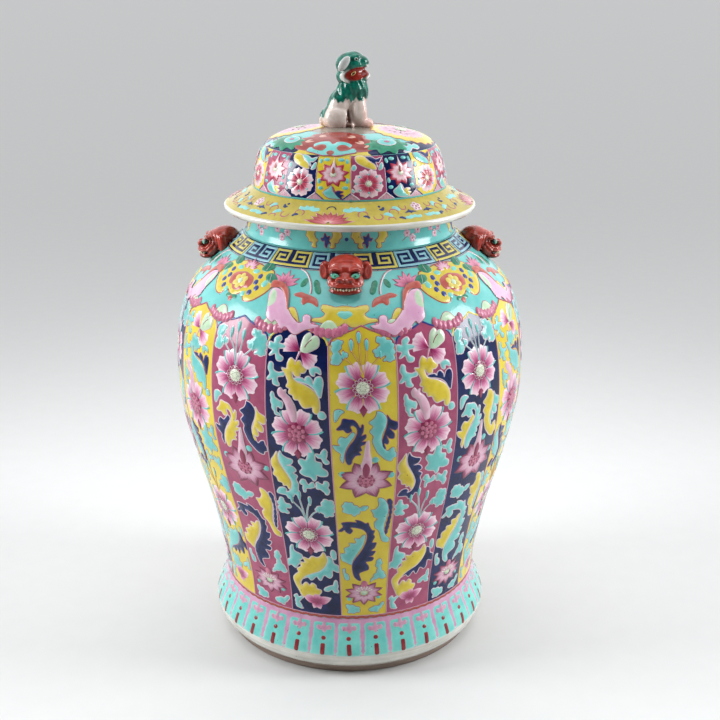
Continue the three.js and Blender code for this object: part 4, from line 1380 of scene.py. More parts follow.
def swelling(places, normals, edges, rounds=8):
    """How far each place stands proud of its surroundings, in millimetres."""
    blurred = places.copy()
    share = np.zeros(len(places))
    np.add.at(share, edges.ravel(), 1)
    for _ in range(rounds):
        total = np.zeros_like(blurred)
        np.add.at(total, edges[:, 0], blurred[edges[:, 1]])
        np.add.at(total, edges[:, 1], blurred[edges[:, 0]])
        blurred = 0.5 * blurred + 0.5 * total / np.maximum(share, 1)[:, None]
    return ((places - blurred) * normals).sum(1)


def step_up(value, low, high):
    """0 below low, 1 above high, and smooth between."""
    t = np.clip((value - low) / (high - low), 0, 1)
    return t * t * (3 - 2 * t)


def stain(tree, under, mark, deep, light, noise):
    """Mixes one colour over another where a mark is set; some marks carry brushed colour and some
    painted shade and highlight.
    """
    where = node(tree, "Attribute", {"attribute_name": mark})
    over = node(tree, "Mix", COLOURS, {"Factor": noise, 6: colour(deep), 7: colour(light)})
    both = node(tree, "Mix", COLOURS, {
        "Factor": where.outputs["Fac"], 6: under, 7: over.outputs[2]})
    return both.outputs[2]


def modelled_enamel(name, deep, light, stains, cloud=5.0, gloss=0.13):
    """Enamel over modelling: two tones clouded together, then other colours over marks, some brushed
    and some painted shade and highlight.
    """
    material, tree = bare_material(name)
    place = node(tree, "TexCoord").outputs["Object"]
    cloudy = node(tree, "TexNoise", sockets={"Vector": place, "Scale": 1000 / cloud, "Detail": 4.0})
    spread = node(tree, "MapRange", sockets={"Value": cloudy.outputs[0], "From Min": 0.35,
                                             "From Max": 0.65})
    tone = node(tree, "Mix", COLOURS, {
        "Factor": spread.outputs[0], 6: colour(deep), 7: colour(light)})
    finished = tone.outputs[2]
    for mark, dark, pale in stains:
        finished = stain(tree, finished, mark, dark, pale, spread.outputs[0])
    rough = node(tree, "MapRange", sockets={
        "Value": cloudy.outputs[0], "To Min": gloss - 0.05, "To Max": gloss + 0.1})
    glass = node(tree, "BsdfPrincipled", sockets={
        "Base Color": finished, "Roughness": rough.outputs[0], "IOR": 1.5, "Coat Weight": 0.15,
        "Specular IOR Level": 0.4, "Coat Roughness": 0.05})
    show(tree, glass)
    return material


MASK_LUMPS = [
    ((130, 0, 434), (16, 17.5, 12.5), 10), ((139, 0, 436), (10, 13.5, 7), 14),
    ((142, 0, 430), (9.5, 13.8, 7.5), 10), ((148, 0, 427), (8.5, 8.5, 6.5), 12),
    ((150.5, 0, 423), (8, 15.4, 4.8), 6), ((147.5, 0, 416.8), (9.4, 15.4, 3.9), 4),
    ((130.5, 19.2, 431.5), (5.5, 5.6, 9.6), 8), ((130.5, -19.2, 431.5), (5.5, 5.6, 9.6), 8),
    ((143, 11.5, 424), (6.5, 5.2, 6.5), 0), ((143, -11.5, 424), (6.5, 5.2, 6.5), 0),
    ((155, 4.8, 428.5), (3.4, 4.2, 3.1), 0), ((155, -4.8, 428.5), (3.4, 4.2, 3.1), 0),
    ((146.5, 8.8, 436), (4, 6.2, 2.6), 0, 14), ((146.5, -8.8, 436), (4, 6.2, 2.6), 0, -14),
    ((120, 0, 427), (14, 15, 10), 30),
]
# Its first stain is pink on high places: thinner enamel and painted highlight. Its second is near
# brown: pooled enamel and painted shade.
mask_red = modelled_enamel("mask_iron_red_enamel", "#8c2a20", "#b23c2e", [
    ("proud", "#c86a60", "#dd9b90"), ("pooled", "#3c0f0c", "#581812")], cloud=6, gloss=0.12)
mask_places, mask_faces, mask_normals, mask_edges = press(MASK_LUMPS, 0.75, 3)
x, y, z = mask_places.T
eye = np.array([150.2, 9.6, 431.4])
from_eye = np.sqrt((x - eye[0]) ** 2 + (np.abs(y) - eye[1]) ** 2 + (z - eye[2]) ** 2)
folds = np.cos(from_eye * 2 * np.pi / 3.4) * step_up(from_eye, 5.2,
                                                     6.4) * (1 - step_up(from_eye, 13, 16))
folds *= step_up(np.abs(y), 6.5, 9) * step_up(x, 128, 134)
socket = 1 - step_up(from_eye, 3.0, 5.4)
lips = np.abs(z - 420.3 + 0.02 * (x - 150))
mouth = (1 - step_up(lips, 0.5, 1.9)) * step_up(x, 143, 149)
ear_cup = (1 - step_up(np.hypot((np.abs(y) - 21.5) / 3.4, (z - 431.5) / 6.2), 0.5,
                       1.1)) * step_up(x, 131, 134)
nostril = 1 - step_up(np.sqrt((x - 158) ** 2 + (np.abs(y) - 4.9) ** 2 + (z - 427.4) ** 2), 1.0, 2.4)
push = 0.5 * folds - 0.9 * socket - 1.6 * mouth - 2.0 * ear_cup - 1.3 * nostril
mask_places = mask_places + mask_normals * push[:, None]
proud = swelling(mask_places, mask_normals, mask_edges)
# Painted shade, partly pooled enamel: recesses, the mouth, the nostrils and the underside below the jaw
# go near brown.
pooled = np.clip(step_up(-proud, 0.25, 0.9) + 0.9 * mouth + 0.7 * nostril + 0.75 * step_up(
    -z, -418.5, -415.5), 0, 1)
# Painted highlight, partly thinner enamel: high places and the ridges round the eyes go pale pink.
proud = np.clip(step_up(proud, 0.75, 1.5) * 0.8 + 0.35 * np.clip(folds, 0, 1), 0, 1) * (1 - pooled)

eye_green = modelled_enamel("eye_green_enamel", "#2fa183", "#7fd0b4", [("ring", "#14201c", "#20302a")],
                            cloud=2)
pupil_black = plain_enamel("pupil_black_enamel", "#16130f", 0.12)
tooth_cream = plain_enamel("tooth_cream_enamel", "#d9c9ac", 0.3)
for name, turn in (("mask_front", -91.6), ("mask_right", 0), ("mask_back", 90), ("mask_left", 180)):
    turned = half_turn(mask_places, "z", turn)
    face = make_piece("lion_" + name, turned * MM, mask_faces, [mask_red], "jar")
    mark_piece(face, proud=proud, pooled=pooled)
    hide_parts(name)
    eyes, pupils, teeth = Layer(), Layer(), Layer()
    for side in (1, -1):
        where = np.array([149.6, side * 9.6, 431.3])
        ball, quads = lump(where, (2.6, 5.1, 3.0), 0, side * 22)
        ball = half_turn(ball - where, "x", side * 16) + where
        ring = step_up(np.hypot((ball[:, 1] - where[1]) / 5.1, (ball[:, 2] - where[2]) / 3.0), 0.66,
                       0.8)
        eyes.add(half_turn(ball, "z", turn) * MM, quads, tip=ring)
        ball, quads = lump(where + (1.7, -side * 0.4, 0), (1.2, 1.5, 1.5), 0, side * 22, 14)
        pupils.add(half_turn(ball, "z", turn) * MM, quads)
    for k in range(10):
        a = (k - 4.5) / 4.5
        where = np.array([156.4 - 5.4 * a * a, 11.6 * a, 419.2 + 0.4 * (k % 2)])
        ball, quads = lump(where, (1.1, 1.05, 1.25), 0, 0, 10)
        teeth.add(half_turn(ball, "z", turn) * MM, quads)
    look = eyes.make("eyes_" + name, eye_green, "jar", "green_enamel")
    mark_piece(look, ring=np.concatenate(eyes.marks["tip"]))
    pupils.make("pupils_" + name, pupil_black, "jar", "navy_enamel")
    teeth.make("teeth_" + name, tooth_cream, "jar", "white_glaze")


# ---- The lid ----
# A domed lid with a sloping brim and a collar that drops into the neck. The brim's edge is left
# white, a turquoise bead marks the foot of the dome, and the same three grounds run round it.
LID_SEAT = NECK_TOP
COLLAR_OUT, COLLAR_IN, COLLAR_LOW = 92.5, 86.5, LID_SEAT - 22
BRIM_CURVE = [(119.5, 468.8), (123.5, 466.6), (127, 467.2), (128.9, 470), (128.1, 473),
              (114, 480.2), (102.5, 487.2), (99.2, 489.9)]
DOME_CURVE = [(99.2, 489.9), (97.3, 503.4), (94.5, 514.6), (90.6, 525), (82.6, 534.8), (69, 541.2),
              (48.3, 545.5), (24, 547.9), (0.5, 548.5)]
HOLLOW = [(0, 541.5), (24, 540.9), (47, 538.6), (66, 534.6), (77, 529.4), (84, 521.5), (87.6, 512.6),
          (90.3, 502.6), (92.2, 489.9)]
brim, dome = Turned(BRIM_CURVE), Turned(DOME_CURVE)
EDGE_UP = float(brim.up[np.argmax(brim.r)])
lid_pale = enamel("lid_top_enamel", "#938c80", "#7f776d", "#b4ada1", cloud=12, gloss=0.2)
brim_yellow = enamel("brim_yellow_enamel", "#bdab3e", "#aa9836", "#d8cc84", cloud=10)

rim_rows = int(np.searchsorted(brim.up, EDGE_UP + 2.6))
brim_outline = [(86.5, LID_SEAT), (109, LID_SEAT), *zip(brim.r, brim.z), (92.2, 489.9), (90, 482)]
brim_piece = turn_on_wheel("lid_brim_shell", brim_outline, [brim_yellow, white_glaze], "lid",
                           [0 if rim_rows + 2 <= i < len(brim.r) + 2 else 1 for i in range(
                               len(brim_outline))])
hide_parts("lid_brim")
dome_outline = [*zip(dome.r[:-1], dome.z[:-1]), (0, 548.5), *HOLLOW]
dome_piece = turn_on_wheel("lid_dome_shell", dome_outline, [turquoise, white_glaze], "lid",
                           [0 if i < len(dome.r) - 1 else 1 for i in range(len(dome_outline))])
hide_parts("lid_dome")
collar = turn_on_wheel("lid_collar_shell", [
    (COLLAR_IN + 1, COLLAR_LOW), (COLLAR_OUT - 1, COLLAR_LOW), (COLLAR_OUT, COLLAR_LOW + 1),
    (COLLAR_OUT, LID_SEAT), (COLLAR_IN, LID_SEAT), (COLLAR_IN, COLLAR_LOW + 1)],
    [white_glaze], "lid")
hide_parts("lid_collar")
for piece in (brim_piece, dome_piece):
    mark_piece(piece, rim=1.0)

lid = {name: Layer() for name in (
    "yellow_ground", "rose_ground", "navy_ground", "yellow", "navy", "turquoise", "rose_line",
    "pink_line",
    "blue_line", "pale_line", "pink_ground", "red_tip", "red_heart", "seed", "ink", "green", "red",
    "pale",
    "peony", "bead", "tan", "brim_red")}
LID_START = 0.6
LID_LOW, LID_TURN_IN, LID_HIGH = 1.9, 7.9, 43.6


def lid_spread(turn, up):
    """The millimetres in a degree on the dome, and what lays flat millimetres there."""
    m = dome.per_degree(up)
    return m, dome.spread(turn, m)


def lid_paint(name, outline, middle, ground=0.15, thick=0.3, line=None, step=1.0, width=0.5):
    """Lays an outline (degrees, millimetres up the dome) on one of the lid's panels."""
    outline = points(outline) if isinstance(outline, str) else outline
    m, spread = lid_spread(middle, outline[:, 1].mean())
    shape = pool(outline * (m, 1), step)
    paint_pool(lid[name], shape, spread, thick, ground)
    if line:
        paint_outline(lid[line], shape[3], spread, width, ground)


for k in range(PANELS):
    middle = LID_START - 10 + 20 * k
    ground = GROUNDS[k % 3]
    columns = np.array([-10, -9.4, *np.linspace(-8.5, 8.5, 15), 9.4, 10])
    rows = np.linspace(0, 1, 14)[:, None]
    hem_up = np.interp(np.abs(columns), [0, 5.4, 10], [LID_LOW, LID_LOW, LID_TURN_IN])
    y = hem_up + (LID_HIGH - hem_up) * rows
    places = dome.at(middle + columns + 0 * y, y, 0.15)
    lid[ground + "_ground"].add(places.reshape(-1, 3), grid_faces(*y.shape))
    line = "rose_line" if ground == "yellow" else "pale_line"
    first, second = {"yellow": ("turquoise", "navy"), "rose": ("yellow", "navy"),
                     "navy": ("yellow", "turquoise")}[ground]
    if k % 2 == 0:
        m, spread = lid_spread(middle, 24.9)
        for leaf_name, text in (
                ("turquoise" if first == "yellow" else first,
                 "-5.5 8.5, -2.5 12.5, -0.8 15, 0.2 10, 1.7 6.8, 4.6 2.8, 1 2.6, -3 3.8"),
                ("navy" if ground == "yellow" else "yellow",
                 "0.1 14, 1.4 9.5, 3 10.4, 5.9 9.4, 4 7.2, 6.2 6.2, 4.8 4.4, 5.4 2.6, 3.4 2.8, "
                 "1.6 6.6")):
            lid_paint(leaf_name, text, middle, line=line)
        for x, y, wide, tall in ((-8, 19, 1.1, 2.6), (8, 19.5, 1.1, 2.6), (-7, 12.5, 1.6, 1.7),
                                 (7, 13, 1.7, 1.7), (-4.4, 39.6, 2, 1.8), (4.4, 39.6, 2, 1.8),
                                 (-8, 38, 1.1, 2.6), (8, 38, 1.1, 2.6)):
            dab(lid["turquoise"], disc(wide * m, tall, 12), (x * m, y), spread, 0.3)
        for j in range(9):
            petal(lid["red_tip"], (0, 25.5), 40 * j + 10, 9.4 * m, 4.1, spread, "pointed", root=0.1,
                  squash=0.8, ground=0.25, puff=0.4)
        dab(lid["seed"], disc(3.6, 2.9, 14), (0, 25.5), spread, 0.3, 0.45)
        paint_line(lid["ink"], disc(2.6, 2.0, 16) + (0, 25.5), spread, 0.3, 0.75, 0.05, step=0,
                   closed=True)
        lid_paint("pale_line", "-0.9 27, -1.2 32, -0.3 38, 0 42.5, 0.4 38, 1.2 32, 0.9 27", middle, 0.6,
                  0.35)
        lid_paint("red", "-0.8 26.5, -0.9 30, 0 32.6, 0.9 30, 0.8 26.5", middle, 0.85, 0.3)
    else:
        m, spread = lid_spread(middle, 17.5)
        lid_paint(first, "-7 42.8, -2 43, 0.5 38.4, 4 34.5, 4.8 29.8, 1.5 30.5, -2.5 33, -6.4 37",
                  middle, line=line)
        lid_paint(second, "-1.2 42.9, 2.8 42.4, 5.5 40, 9.2 41.5, 7 36.5, 5 36.8, 6.2 32, "
                  "4.6 34.2, 1 38.8",
                  middle, line=line)
        for text in ("6.4 29.4, 9 30.8, 9.2 36, 7.8 35",
                     "-9.2 33, -7.6 34.4, -6.8 31.6, -8 29, -9.3 30.2",
                     "-9.2 12, -7.6 9.4, -8.6 8.4, -9.4 9.6"):
            lid_paint("turquoise", text, middle, line=line)
        for j in range(8):
            petal(lid["red_heart"], (0, 16.8), 45 * j + 22.5, 9.0 * m, 23, spread, "heart", root=0.15,
                  squash=0.93, ground=0.25, puff=0.4)
        dab(lid["seed"], disc(3.2, 2.9, 14), (0, 16.8), spread, 0.3, 0.45)
        paint_line(lid["ink"], disc(2.3, 2.0, 16) + (0, 16.8), spread, 0.3, 0.75, 0.05, step=0,
                   closed=True)
        for where in around((0, 16.8), 9.6 * m / 1.35, 8, 0, 8.6 / (9.6 * m / 1.35)):
            dab(lid["turquoise"], disc(1.1, 1.1, 8), where, spread, 0.25, 0.5)
    m, spread = lid_spread(middle, 20)
    frame_line = np.array([(-9.9, 43), (-9.9, 30), (-9.9, 18), (-9.8, 8.1), (-7.4, 5),
                           (-5.2, 2.4)]) * (m, 1)
    edge_name = "blue_line" if ground == "yellow" else "pale_line"
    paint_line(lid["pink_line"], frame_line[:4], spread, 1.2, 0.15, 0.25, step=0)
    for sign in (1, -1):
        hem = np.array([(-10, 7.9), (-7.6, 4.9), (-5.2, 1.9)]) * (sign * m, 1)
        paint_line(lid[edge_name], hem, spread, 1.1, 0.2, 0.25, step=2)
    start, fan = lid_spread(LID_START + 20 * k, 4)
    gore = np.array([(-5, 1.6), (5, 1.6), (0, 8.2)]) * (start, 1)
    paint_pool(lid["pink_ground"], pool(np.vstack([
        np.linspace(gore[0], gore[1], 8)[:-1], np.linspace(gore[1], gore[2], 6)[:-1],
        np.linspace(gore[2], gore[0], 6)[:-1]]), None, 0.3), fan, 0.04, 0.05)
    for x in (-3.4, -1.7, 0, 1.7, 3.4):
        for y in (2.8, 4.6, 6.3):
            if abs(x) < 4.6 * (8 - y) / 6:
                dab(lid["ink"], disc(0.3, count=6), (x * start, y), fan, 0.05, 0.12, 0.1)


def dome_ring(layer, up, width, ground=0.1, raised=0.25):
    """A rounded line all the way round the dome."""
    places = []
    for side, high in ((-1, -0.05), (-0.7, raised * 0.7), (0, raised), (0.7, raised * 0.7), (1, -0.05)):
        places.append(dome.at(ring, up + side * width / 2 + 0 * ring, ground + high))
    layer.add(np.vstack(places), grid_faces(5, len(ring), closed=True))


dome_ring(lid["bead"], 0.7, 3.4, 0.1, 1.5)
dome_ring(lid["pink_line"], LID_HIGH + 0.2, 1.0)

# The crown round the finial: a blue band, a yellow field and scroll head on the front and back,
# green leaves beside them, and a big pink peony on each side.
FRONT_TURNS, SIDE_TURNS = (-12.5, 167.5), (77.5, 257.5)


def crown_spread(turn):
    """Flat millimetres on the crown: x round it, and y in from a circle of radius 100."""
    def spread(x, y, lift):
        across, out = np.asarray(x), 100 - np.asarray(y)
        r = np.hypot(across, out)
        up = np.interp(-r, -dome.r, dome.up)
        return dome.at(turn + np.degrees(np.arctan2(across, out)), up, lift)
    return spread


def on_crown(name, outline, turns, ground=0.15, thick=0.3, line=None, step=1.4, width=0.5):
    """Lays a flat outline on the crown at each turn."""
    outline = points(outline) if isinstance(outline, str) else outline
    shape = pool(outline, step)
    for turn in turns:
        paint_pool(lid[name], shape, crown_spread(turn), thick, ground)
        if line:
            paint_outline(lid[line], shape[3], crown_spread(turn), width, ground)


paint_band(lid["navy_ground"], dome,
           [LID_HIGH + 0.4, LID_HIGH + 0.9, 46, 49, 52, 55, 57.4, 58], [0.0, *[0.16] * 6, 0.0])
paint_band(lid["pale"], dome, [88, 95, 105, 115, 128], [0.0, 0.15, 0.15, 0.15, 0.15])
on_crown("yellow", disc(36, 31, 90, lobes=18, depth=0.035) + (0, 47), SIDE_TURNS, 0.2, 0.25,
         "rose_line", step=None)
field = np.radians(np.linspace(-26, 26, 27))
edges = [np.stack([r * np.sin(a), 100 - r * np.cos(a)], -1) for r, a in ((86.4, field),
                                                                         (76, field[::-1]))]
on_crown("yellow", np.vstack(edges), FRONT_TURNS, 0.2, 0.15, None, step=None)
on_crown("red", mirrored("0 22, 8 25, 14 22, 22 20.5, 30 22.5, 37 27, 40 34, 36 42, 27 46, 25 53, "
                         "14 58, 6 60, 0 61"), FRONT_TURNS, 0.35, 0.3, "rose_line")
for sign in (1, -1):
    for text in ("20 33, 25 31, 29 33.5, 26 37.5, 22 36.5, 25 34.5",
                 "10 44, 15 42, 18 46, 14 50, 11 48, 14 46",
                 "30 27, 33 28.5, 34 32, 31.6 31"):
        shape = pool(points(text) * (sign, 1), 1.2)
        for turn in FRONT_TURNS:
            paint_pool(lid["tan"], shape, crown_spread(turn), 0.2, 0.65)
on_crown("turquoise", mirrored("0 13.6, 8 13.8, 16 16.2, 24 19.6, 21.6 23, 17.6 22, 18.4 27, "
                               "12 31, 4.5 31.4, 1.4 27.6, 0 26.6"), FRONT_TURNS, 0.65, 0.35,
         "rose_line")
for sign in (1, -1):
    shape = pool(points("5 21, 8 17.6, 13.6 18.4, 19 21.4, 17 23, 12 25.6, 7 24.8") * (sign, 1), 1.2)
    for turn in FRONT_TURNS:
        paint_pool(lid["red"], shape, crown_spread(turn), 0.3, 1.0)
on_crown("red", disc(3.6, 1.9, 14) + (0, 15.6), FRONT_TURNS, 1.0, 0.25, step=None)
leaf_turns = [turn + side * 40.5 for turn in FRONT_TURNS for side in (1, -1)]
on_crown("green", disc(21, 10.5, 60, lobes=9, depth=0.13) + (0, 25.5), leaf_turns, 0.5, 0.4, step=None)
on_crown("turquoise", disc(9.6, 6, 24) + (2, 28.5), leaf_turns, 0.9, 0.3, "pale_line", step=None)
on_crown("peony", disc(3.2, 2.1, 12) + (2, 28.5), leaf_turns, 1.2, 0.2, step=None)
for turn, lean in [(turn + side * 32, side) for turn in SIDE_TURNS for side in (1, -1)]:
    on_crown("turquoise", points("-12 15.4, -8 17.4, -6.4 21, -2 19.4, 1 23, 4.6 20, 9 21.6, "
                                 "12 17.6, 7 15.6, 2 17, -4 14.6"), (turn,), 0.2, 0.3, "pale_line")
for turn in SIDE_TURNS:
    spread = crown_spread(turn)
    for k in range(14):
        petal(lid["peony"], (0, 48), 360 / 14 * k, 28, 13.4, spread, "heart", root=0.2, squash=0.86,
              ground=0.5, puff=0.5)
    for k in range(9):
        petal(lid["peony"], (0, 48), 40 * k + 12, 17, 21, spread, "heart", root=0.2, squash=0.86,
              ground=1.0, puff=0.4)
    dab(lid["seed"], disc(7, 6, 18), (0, 48), spread, 0.4, 1.5)
    paint_line(lid["ink"], disc(4.4, 3.6, 18, 6, 0.2) + (0, 48), spread, 0.5, 1.9, 0.05, step=0,
               closed=True)

# The brim: scrolls, clouds, blossoms and four half lotus flowers on yellow.
BRIM_LOW = EDGE_UP + 5.5
BRIM_M = 118 * DEGREE
COMMA = points("-2.6 0.6, -1 2.2, 1.4 1.8, 2.6 -0.6, 1.6 -2, 0.2 -0.6, -1 -0.2")
TWIG = points("-7 -1.6, -4 0.4, -1.6 2, 0 3.6, 1.2 1.6, 4.4 1, 7 -1.4, 3 -1, 0.6 -2.6, -1.6 -1")
PUFFS = points("-9 -1.4, -8 1.8, -4.6 1.4, -3 3.4, 0.4 2.4, 3 3.6, 5 1.6, 9 2.4, 8.4 -1.2, 4 -2, "
               "0 -1, -4 -2.6")
for turn in (-9.2, 80.8, 170.8, 260.8):
    m, spread = BRIM_M, brim.spread(turn, BRIM_M, BRIM_LOW)
    for k, angle in enumerate((8, 28, 47, 68, 90, 112, 133, 152, 172)):
        long = 19 + 5.5 * abs(math.cos(math.radians(angle))) - (2.5 if k % 2 else 0)
        petal(lid["brim_red"], (0, 0.6), angle, long, 3.1, spread, "pointed", root=0.05,
              ground=0.15 + (0.12 if k % 2 else 0), puff=0.35, squash=0.9)
    for sign in (1, -1):
        for layer_name, outline, x, y in (
                ("turquoise", PUFFS, 11.5, 19.5), ("navy", COMMA, 17, 9.5),
                ("navy", COMMA * (1, -1), 25.5, 20.5),
                ("turquoise", COMMA * 1.4, 27.5, 11), ("navy", COMMA, 33.5, 5),
                ("turquoise", PUFFS * 0.8, 39.5, 5.5),
                ("turquoise", COMMA * 1.3, 32.8, 19), ("navy", TWIG * 0.8, 39.5, 13.5)):
            shape = pool(1.25 * outline * (sign, 1) + (sign * x * m, y), 1.0, spacing=4)
            paint_pool(lid[layer_name], shape, spread, 0.25, 0.05)
        for x, y, r, begin, end in ((15.5, 13, 4.8, -30, 220), (22.5, 9.5, 4.4, 160, 410),
                                    (31, 14.5, 4.6, -40, 200),
                                    (37, 21, 3.8, 150, 380), (28.5, 4.5, 3.4, -20, 190)):
            a = np.radians(np.linspace(begin, end, 14))
            curl = np.stack([x * m + r * np.cos(a), y + r * np.sin(a)], -1) * (sign, 1)
            paint_line(lid["rose_line"], curl, spread, 1.5, 0.04, 0.2, step=0,
                       taper=[(0, 0.4), (0.4, 1), (1, 0.7)])
        dab(lid["navy"], disc(1.5, count=10), (sign * 24.5 * m, 23.5), spread, 0.25, 0.05)
    a = np.radians(np.linspace(-10, 190, 12))
    paint_line(lid["navy"], np.stack([4.6 * np.cos(a), 20.5 + 3.6 * np.sin(a)], -1), spread, 1.2, 0.1,
               0.2,
               step=0)
    for where in around((45 * m, 19.5), 3.6, 5, 90):
        dab(lid["pale_line"], disc(2.9, count=12), where, spread, 0.25, 0.05)
        dab(lid["rose_line"], disc(1.1, count=8), where, spread, 0.12, 0.32)
    dab(lid["rose_line"], disc(1.2, count=10), (45 * m, 19.5), spread, 0.2, 0.3)

lid_finish = {
    "yellow_ground": ("lid_panels_yellow", yellow_ground, "yellow_enamel"),
    "rose_ground": ("lid_panels_rose", rose_ground, "rose_enamel"),
    "navy_ground": ("lid_panels_blue", navy_ground, "navy_enamel"),
    "yellow": ("lid_leaves_yellow", yellow, "yellow_enamel"),
    "navy": ("lid_leaves_navy", navy, "navy_enamel"),
    "turquoise": ("lid_clouds_turquoise", turquoise, "turquoise_enamel"),
    "rose_line": ("lid_lines_rose", rose_line, "rose_enamel"),
    "pink_line": ("lid_lines_pink", pink_line, "pink_enamel"),
    "blue_line": ("lid_lines_blue", blue_line, "navy_enamel"),
    "pale_line": ("lid_lines_pale", pale_line, "pink_enamel"),
    "pink_ground": ("lid_diaper_pink", plain_enamel("diaper_pink_enamel", "#cf9fae"), "pink_enamel"),
    "red_tip": ("lid_lotus_petals", petal_enamel("red_tipped_petal_enamel", [
        (0.05, "#bd5069"), (0.22, "#e3b4c0"), (0.48, "#e9cdd5"), (0.68, "#c2445d"), (1.0, "#981b34")],
                                                 0.3),
        "pink_enamel"),
    "red_heart": ("lid_peony_petals", petal_enamel("red_hearted_petal_enamel", [
        (0.05, "#c8768a"), (0.2, "#b22b49"), (0.46, "#c4506a"), (0.66, "#e4b9c5"), (1.0, "#f0dbe0")],
                                                   -0.05),
        "pink_enamel"),
    "seed": ("lid_seeds", seed_green, "white_glaze"),
    "ink": ("lid_ink", ink_line, "navy_enamel"),
    "green": ("lid_leaves_green", enamel("lid_green_enamel", "#24906c", "#127055", "#62b294", cloud=7),
              "green_enamel"),
    "red": ("lid_scroll_head_red", enamel("iron_red_enamel", "#a23c34", "#85302b", "#c4776c", cloud=7),
            "iron_red_enamel"),
    "pale": ("lid_crown_pale", lid_pale, "white_glaze"),
    "peony": ("lid_big_peonies", petal_enamel("crown_peony_enamel", [
        (0.0, "#a85a7a"), (0.4, "#c284a2"), (0.8, "#cf9db4"), (1.0, "#dcb8c8")], 0.2), "pink_enamel"),
    "bead": ("lid_bead", turquoise, "turquoise_enamel"),
    "tan": ("lid_scroll_marks", plain_enamel("pale_peach_enamel", "#d8a999"), "flesh_enamel"),
    "brim_red": ("brim_lotus_petals", petal_enamel("brim_lotus_enamel", [
        (0.0, "#deb4ac"), (0.28, "#c05a64"), (0.6, "#a22c36"), (0.9, "#8c1f24"), (1.1, "#e0b8b0")],
                                                   0.3), "iron_red_enamel"),
}
for name, (title, material, slot) in lid_finish.items():
    lid[name].make(title, material, "lid", slot)


# ---- The lion finial ----
# A small seated lion modelled by hand and luted to the crown: green mane and head, an open iron
# red mouth, pale drooping ears, and a flesh-pink body left thin enough to show the clay.
FLOOR = 547.6
LION_LUMPS = [
    ((-13, 0, FLOOR + 10), (15.2, 16, 14.5), 0), ((-9, 0, FLOOR + 22), (13.5, 14, 18), 26),
    ((-1, 0, FLOOR + 32), (14, 13.5, 18), 14), ((4, 0, FLOOR + 38), (14, 13.5, 17), 0),
    ((-7, 0, FLOOR + 3), (20, 15, 5.5), 0), ((1.5, 0, FLOOR + 50), (15.4, 13.4, 10.5), 0),
    ((0.5, 0, FLOOR + 61), (14.8, 13.4, 12.3), 0), ((4, 0, FLOOR + 66), (10, 11, 8), 0),
    ((11, 0, FLOOR + 63.5), (8.4, 8.6, 6.6), 10), ((13.5, 0, FLOOR + 50.5), (6, 8, 6.5), 0),
    ((12, 0, FLOOR + 35), (6.5, 9, 15), 0),
    ((9.6, 7.2, FLOOR + 15), (7.8, 6.4, 18), -4), ((9.6, -7.2, FLOOR + 15), (7.8, 6.4, 18), -4),
    ((0, 0, FLOOR + 8), (9, 9.5, 13), 0),
    ((16.5, 7.6, FLOOR + 3.2), (7.2, 6.2, 4.6), 0), ((16.5, -7.6, FLOOR + 3.2), (7.2, 6.2, 4.6), 0),
    ((-12, 12, FLOOR + 9), (12, 5.5, 11.5), 0), ((-12, -12, FLOOR + 9), (12, 5.5, 11.5), 0),
    ((-2, 12.5, FLOOR + 2.6), (7, 4.6, 4), 0), ((-2, -12.5, FLOOR + 2.6), (7, 4.6, 4), 0),
    ((-26.5, 0, FLOOR + 9), (4.2, 4.6, 8.5), 8),
]
lion_places, lion_faces, lion_normals, lion_edges = press(LION_LUMPS, 0.8, 4)
x, y, z = lion_places.T
sway = 1.6 * np.sin(np.arctan2(y, x - 2) * 9) + 0.9 * np.sin(np.arctan2(y, x) * 23 + 1)
mane = step_up(z - sway - 0.05 * (x + 10), 573.4, 574.8)
back_line = np.interp(z, [548, 556, 562, 569, 578.6, 590], [-31, -29.3, -27.4, -24.4, -19.5, -14.5])
stripe = (1 - step_up(x - back_line + 0.02 * y ** 2, 4.0, 5.4)) * step_up(z, 556, 558.5)
green = np.clip(mane + stripe, 0, 1)
mouth_r = np.hypot((x - 7.5) / 13.2, (z - 600.2 - 0.16 * (x - 7.5)) / 6.6)
mouth = (1 - step_up(mouth_r, 0.86, 1.0)) * step_up(x, -8, -4)
lip = step_up(mouth_r, 0.9, 1.02) * (1 - step_up(mouth_r, 1.22, 1.36)) * step_up(z, 590, 592) * (
    1 - step_up(z - 0.4 * x, 603, 606)) * np.clip(1 - step_up(x, -2, 1) + step_up(x, 15, 17), 0, 1)
hollow = (1 - step_up(mouth_r, 0.35, 1.0)) * step_up(x, -8, -4)
# Painted shade: the narrow place between the forelegs and the haunch is pressed in and painted dark
# brown.
gap_left = np.interp(z, [548, 556, 566], [-4.5, -3.4, -1.6])
gap_right = np.interp(z, [548, 556, 566], [2.6, 1.4, -1.0])
gap = step_up(x, gap_left - 0.6, gap_left + 0.6) * (1 - step_up(x, gap_right - 0.6, gap_right + 0.6))
gap *= (1 - step_up(z, 564, 567)) * step_up(np.abs(y), 3, 5)
locks = np.cos(np.arctan2(y, x - 2) * 14 + 0.35 * (z - 580)) * step_up(z, 572, 578) * (
    1 - step_up(z, 592, 597))
brow = (1 - step_up(np.hypot((x - 6) / 5.2, (z - 616.5) / 2.4), 0.6, 1.1)) * step_up(np.abs(y), 5, 7)
toes = np.cos(y * 2 * np.pi / 3.6) * step_up(x, 17, 20) * (1 - step_up(z, 551.5, 554))
push = -2.2 * hollow * step_up(x, -6, 4) + 0.3 * locks + 0.9 * lip + 0.8 * brow - 1.3 * gap + 0.5 * toes
lion_places = lion_places + lion_normals * push[:, None]
low = lion_places[:, 2] < FLOOR - 1.5
lion_places[low, 2] = FLOOR - 1.5
proud = swelling(lion_places, lion_normals, lion_edges)
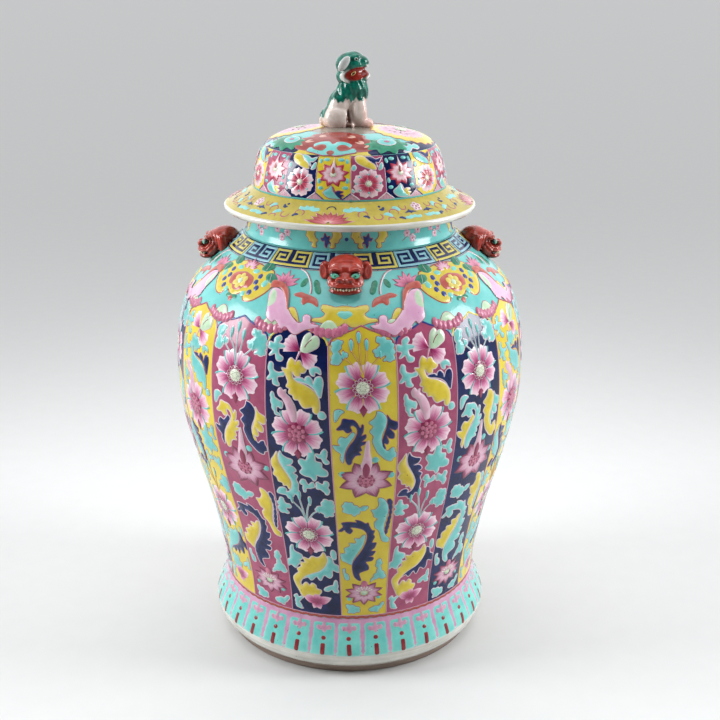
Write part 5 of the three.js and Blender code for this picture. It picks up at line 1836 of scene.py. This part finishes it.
thin_green = step_up(proud, 0.5, 1.3) * green * (1 - mouth)
# The gap stain is painted shade: dark brown where the forelegs meet the haunch.
lion_skin = modelled_enamel("lion_enamels", "#dacac0", "#ecddd6", [
    ("blush", "#d0a79f", "#dcb5aa"), ("gap", "#5c3c2f", "#74503f"), ("green", "#09463a", "#117a66"),
    ("thin_green", "#2c8c72", "#58ab90"), ("lip", "#cfd3cf", "#e6e0dc"),
    ("mouth", "#741b18", "#942a1f")],
    cloud=5, gloss=0.12)
lion = make_piece("lion", lion_places * MM, lion_faces, [lion_skin], "lid")
blush = np.clip(step_up(-z, -558, -550) * 0.6 + step_up(x, 10, 16) * (1 - green) * 0.7, 0, 1)
mark_piece(lion, green=green, thin_green=thin_green * 0.55, mouth=mouth, lip=lip,
           gap=gap, blush=blush)
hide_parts("finial_body", "finial_head", "finial_foreleg_left", "finial_foreleg_right",
            "finial_tail")
ears, whites, blacks, golds = Layer(), Layer(), Layer(), Layer()
for side in (1, -1):
    ball, quads = lump((-5.6, side * 12.4, 610), (4.3, 3.0, 8.6), 36, 0)
    ears.add(ball * MM, quads, rim=1.0)
    ball, quads = lump((6.3, side * 11.6, 614.4), (1.9, 1.1, 1.8), 0, 0, 14)
    whites.add(ball * MM, quads)
    ball, quads = lump((6.6, side * 12.3, 614.4), (1.15, 0.9, 1.1), 0, 0, 12)
    blacks.add(ball * MM, quads)
    ball, quads = lump((3.8, side * 12.2, 600.6), (3.0, 1.2, 1.5), -38, 0, 14)
    golds.add(ball * MM, quads)
    ball, quads = lump((3.8, side * 13.0, 600.6), (2.1, 0.9, 0.8), -38, 0, 12)
    blacks.add(ball * MM, quads)
ears.make("lion_ears", enamel("lion_ear_enamel", "#cbc9c7", "#b7bcb8", "#dfdddb", cloud=6), "lid",
          "white_glaze")
whites.make("lion_eyes", plain_enamel("lion_eye_enamel", "#9fb5ab", 0.15), "lid", "white_glaze")
blacks.make("lion_pupils", pupil_black, "lid", "navy_enamel")
golds.make("lion_tongue_marks", plain_enamel("tongue_gold_enamel", "#b99a5c", 0.2), "lid",
           "yellow_enamel")
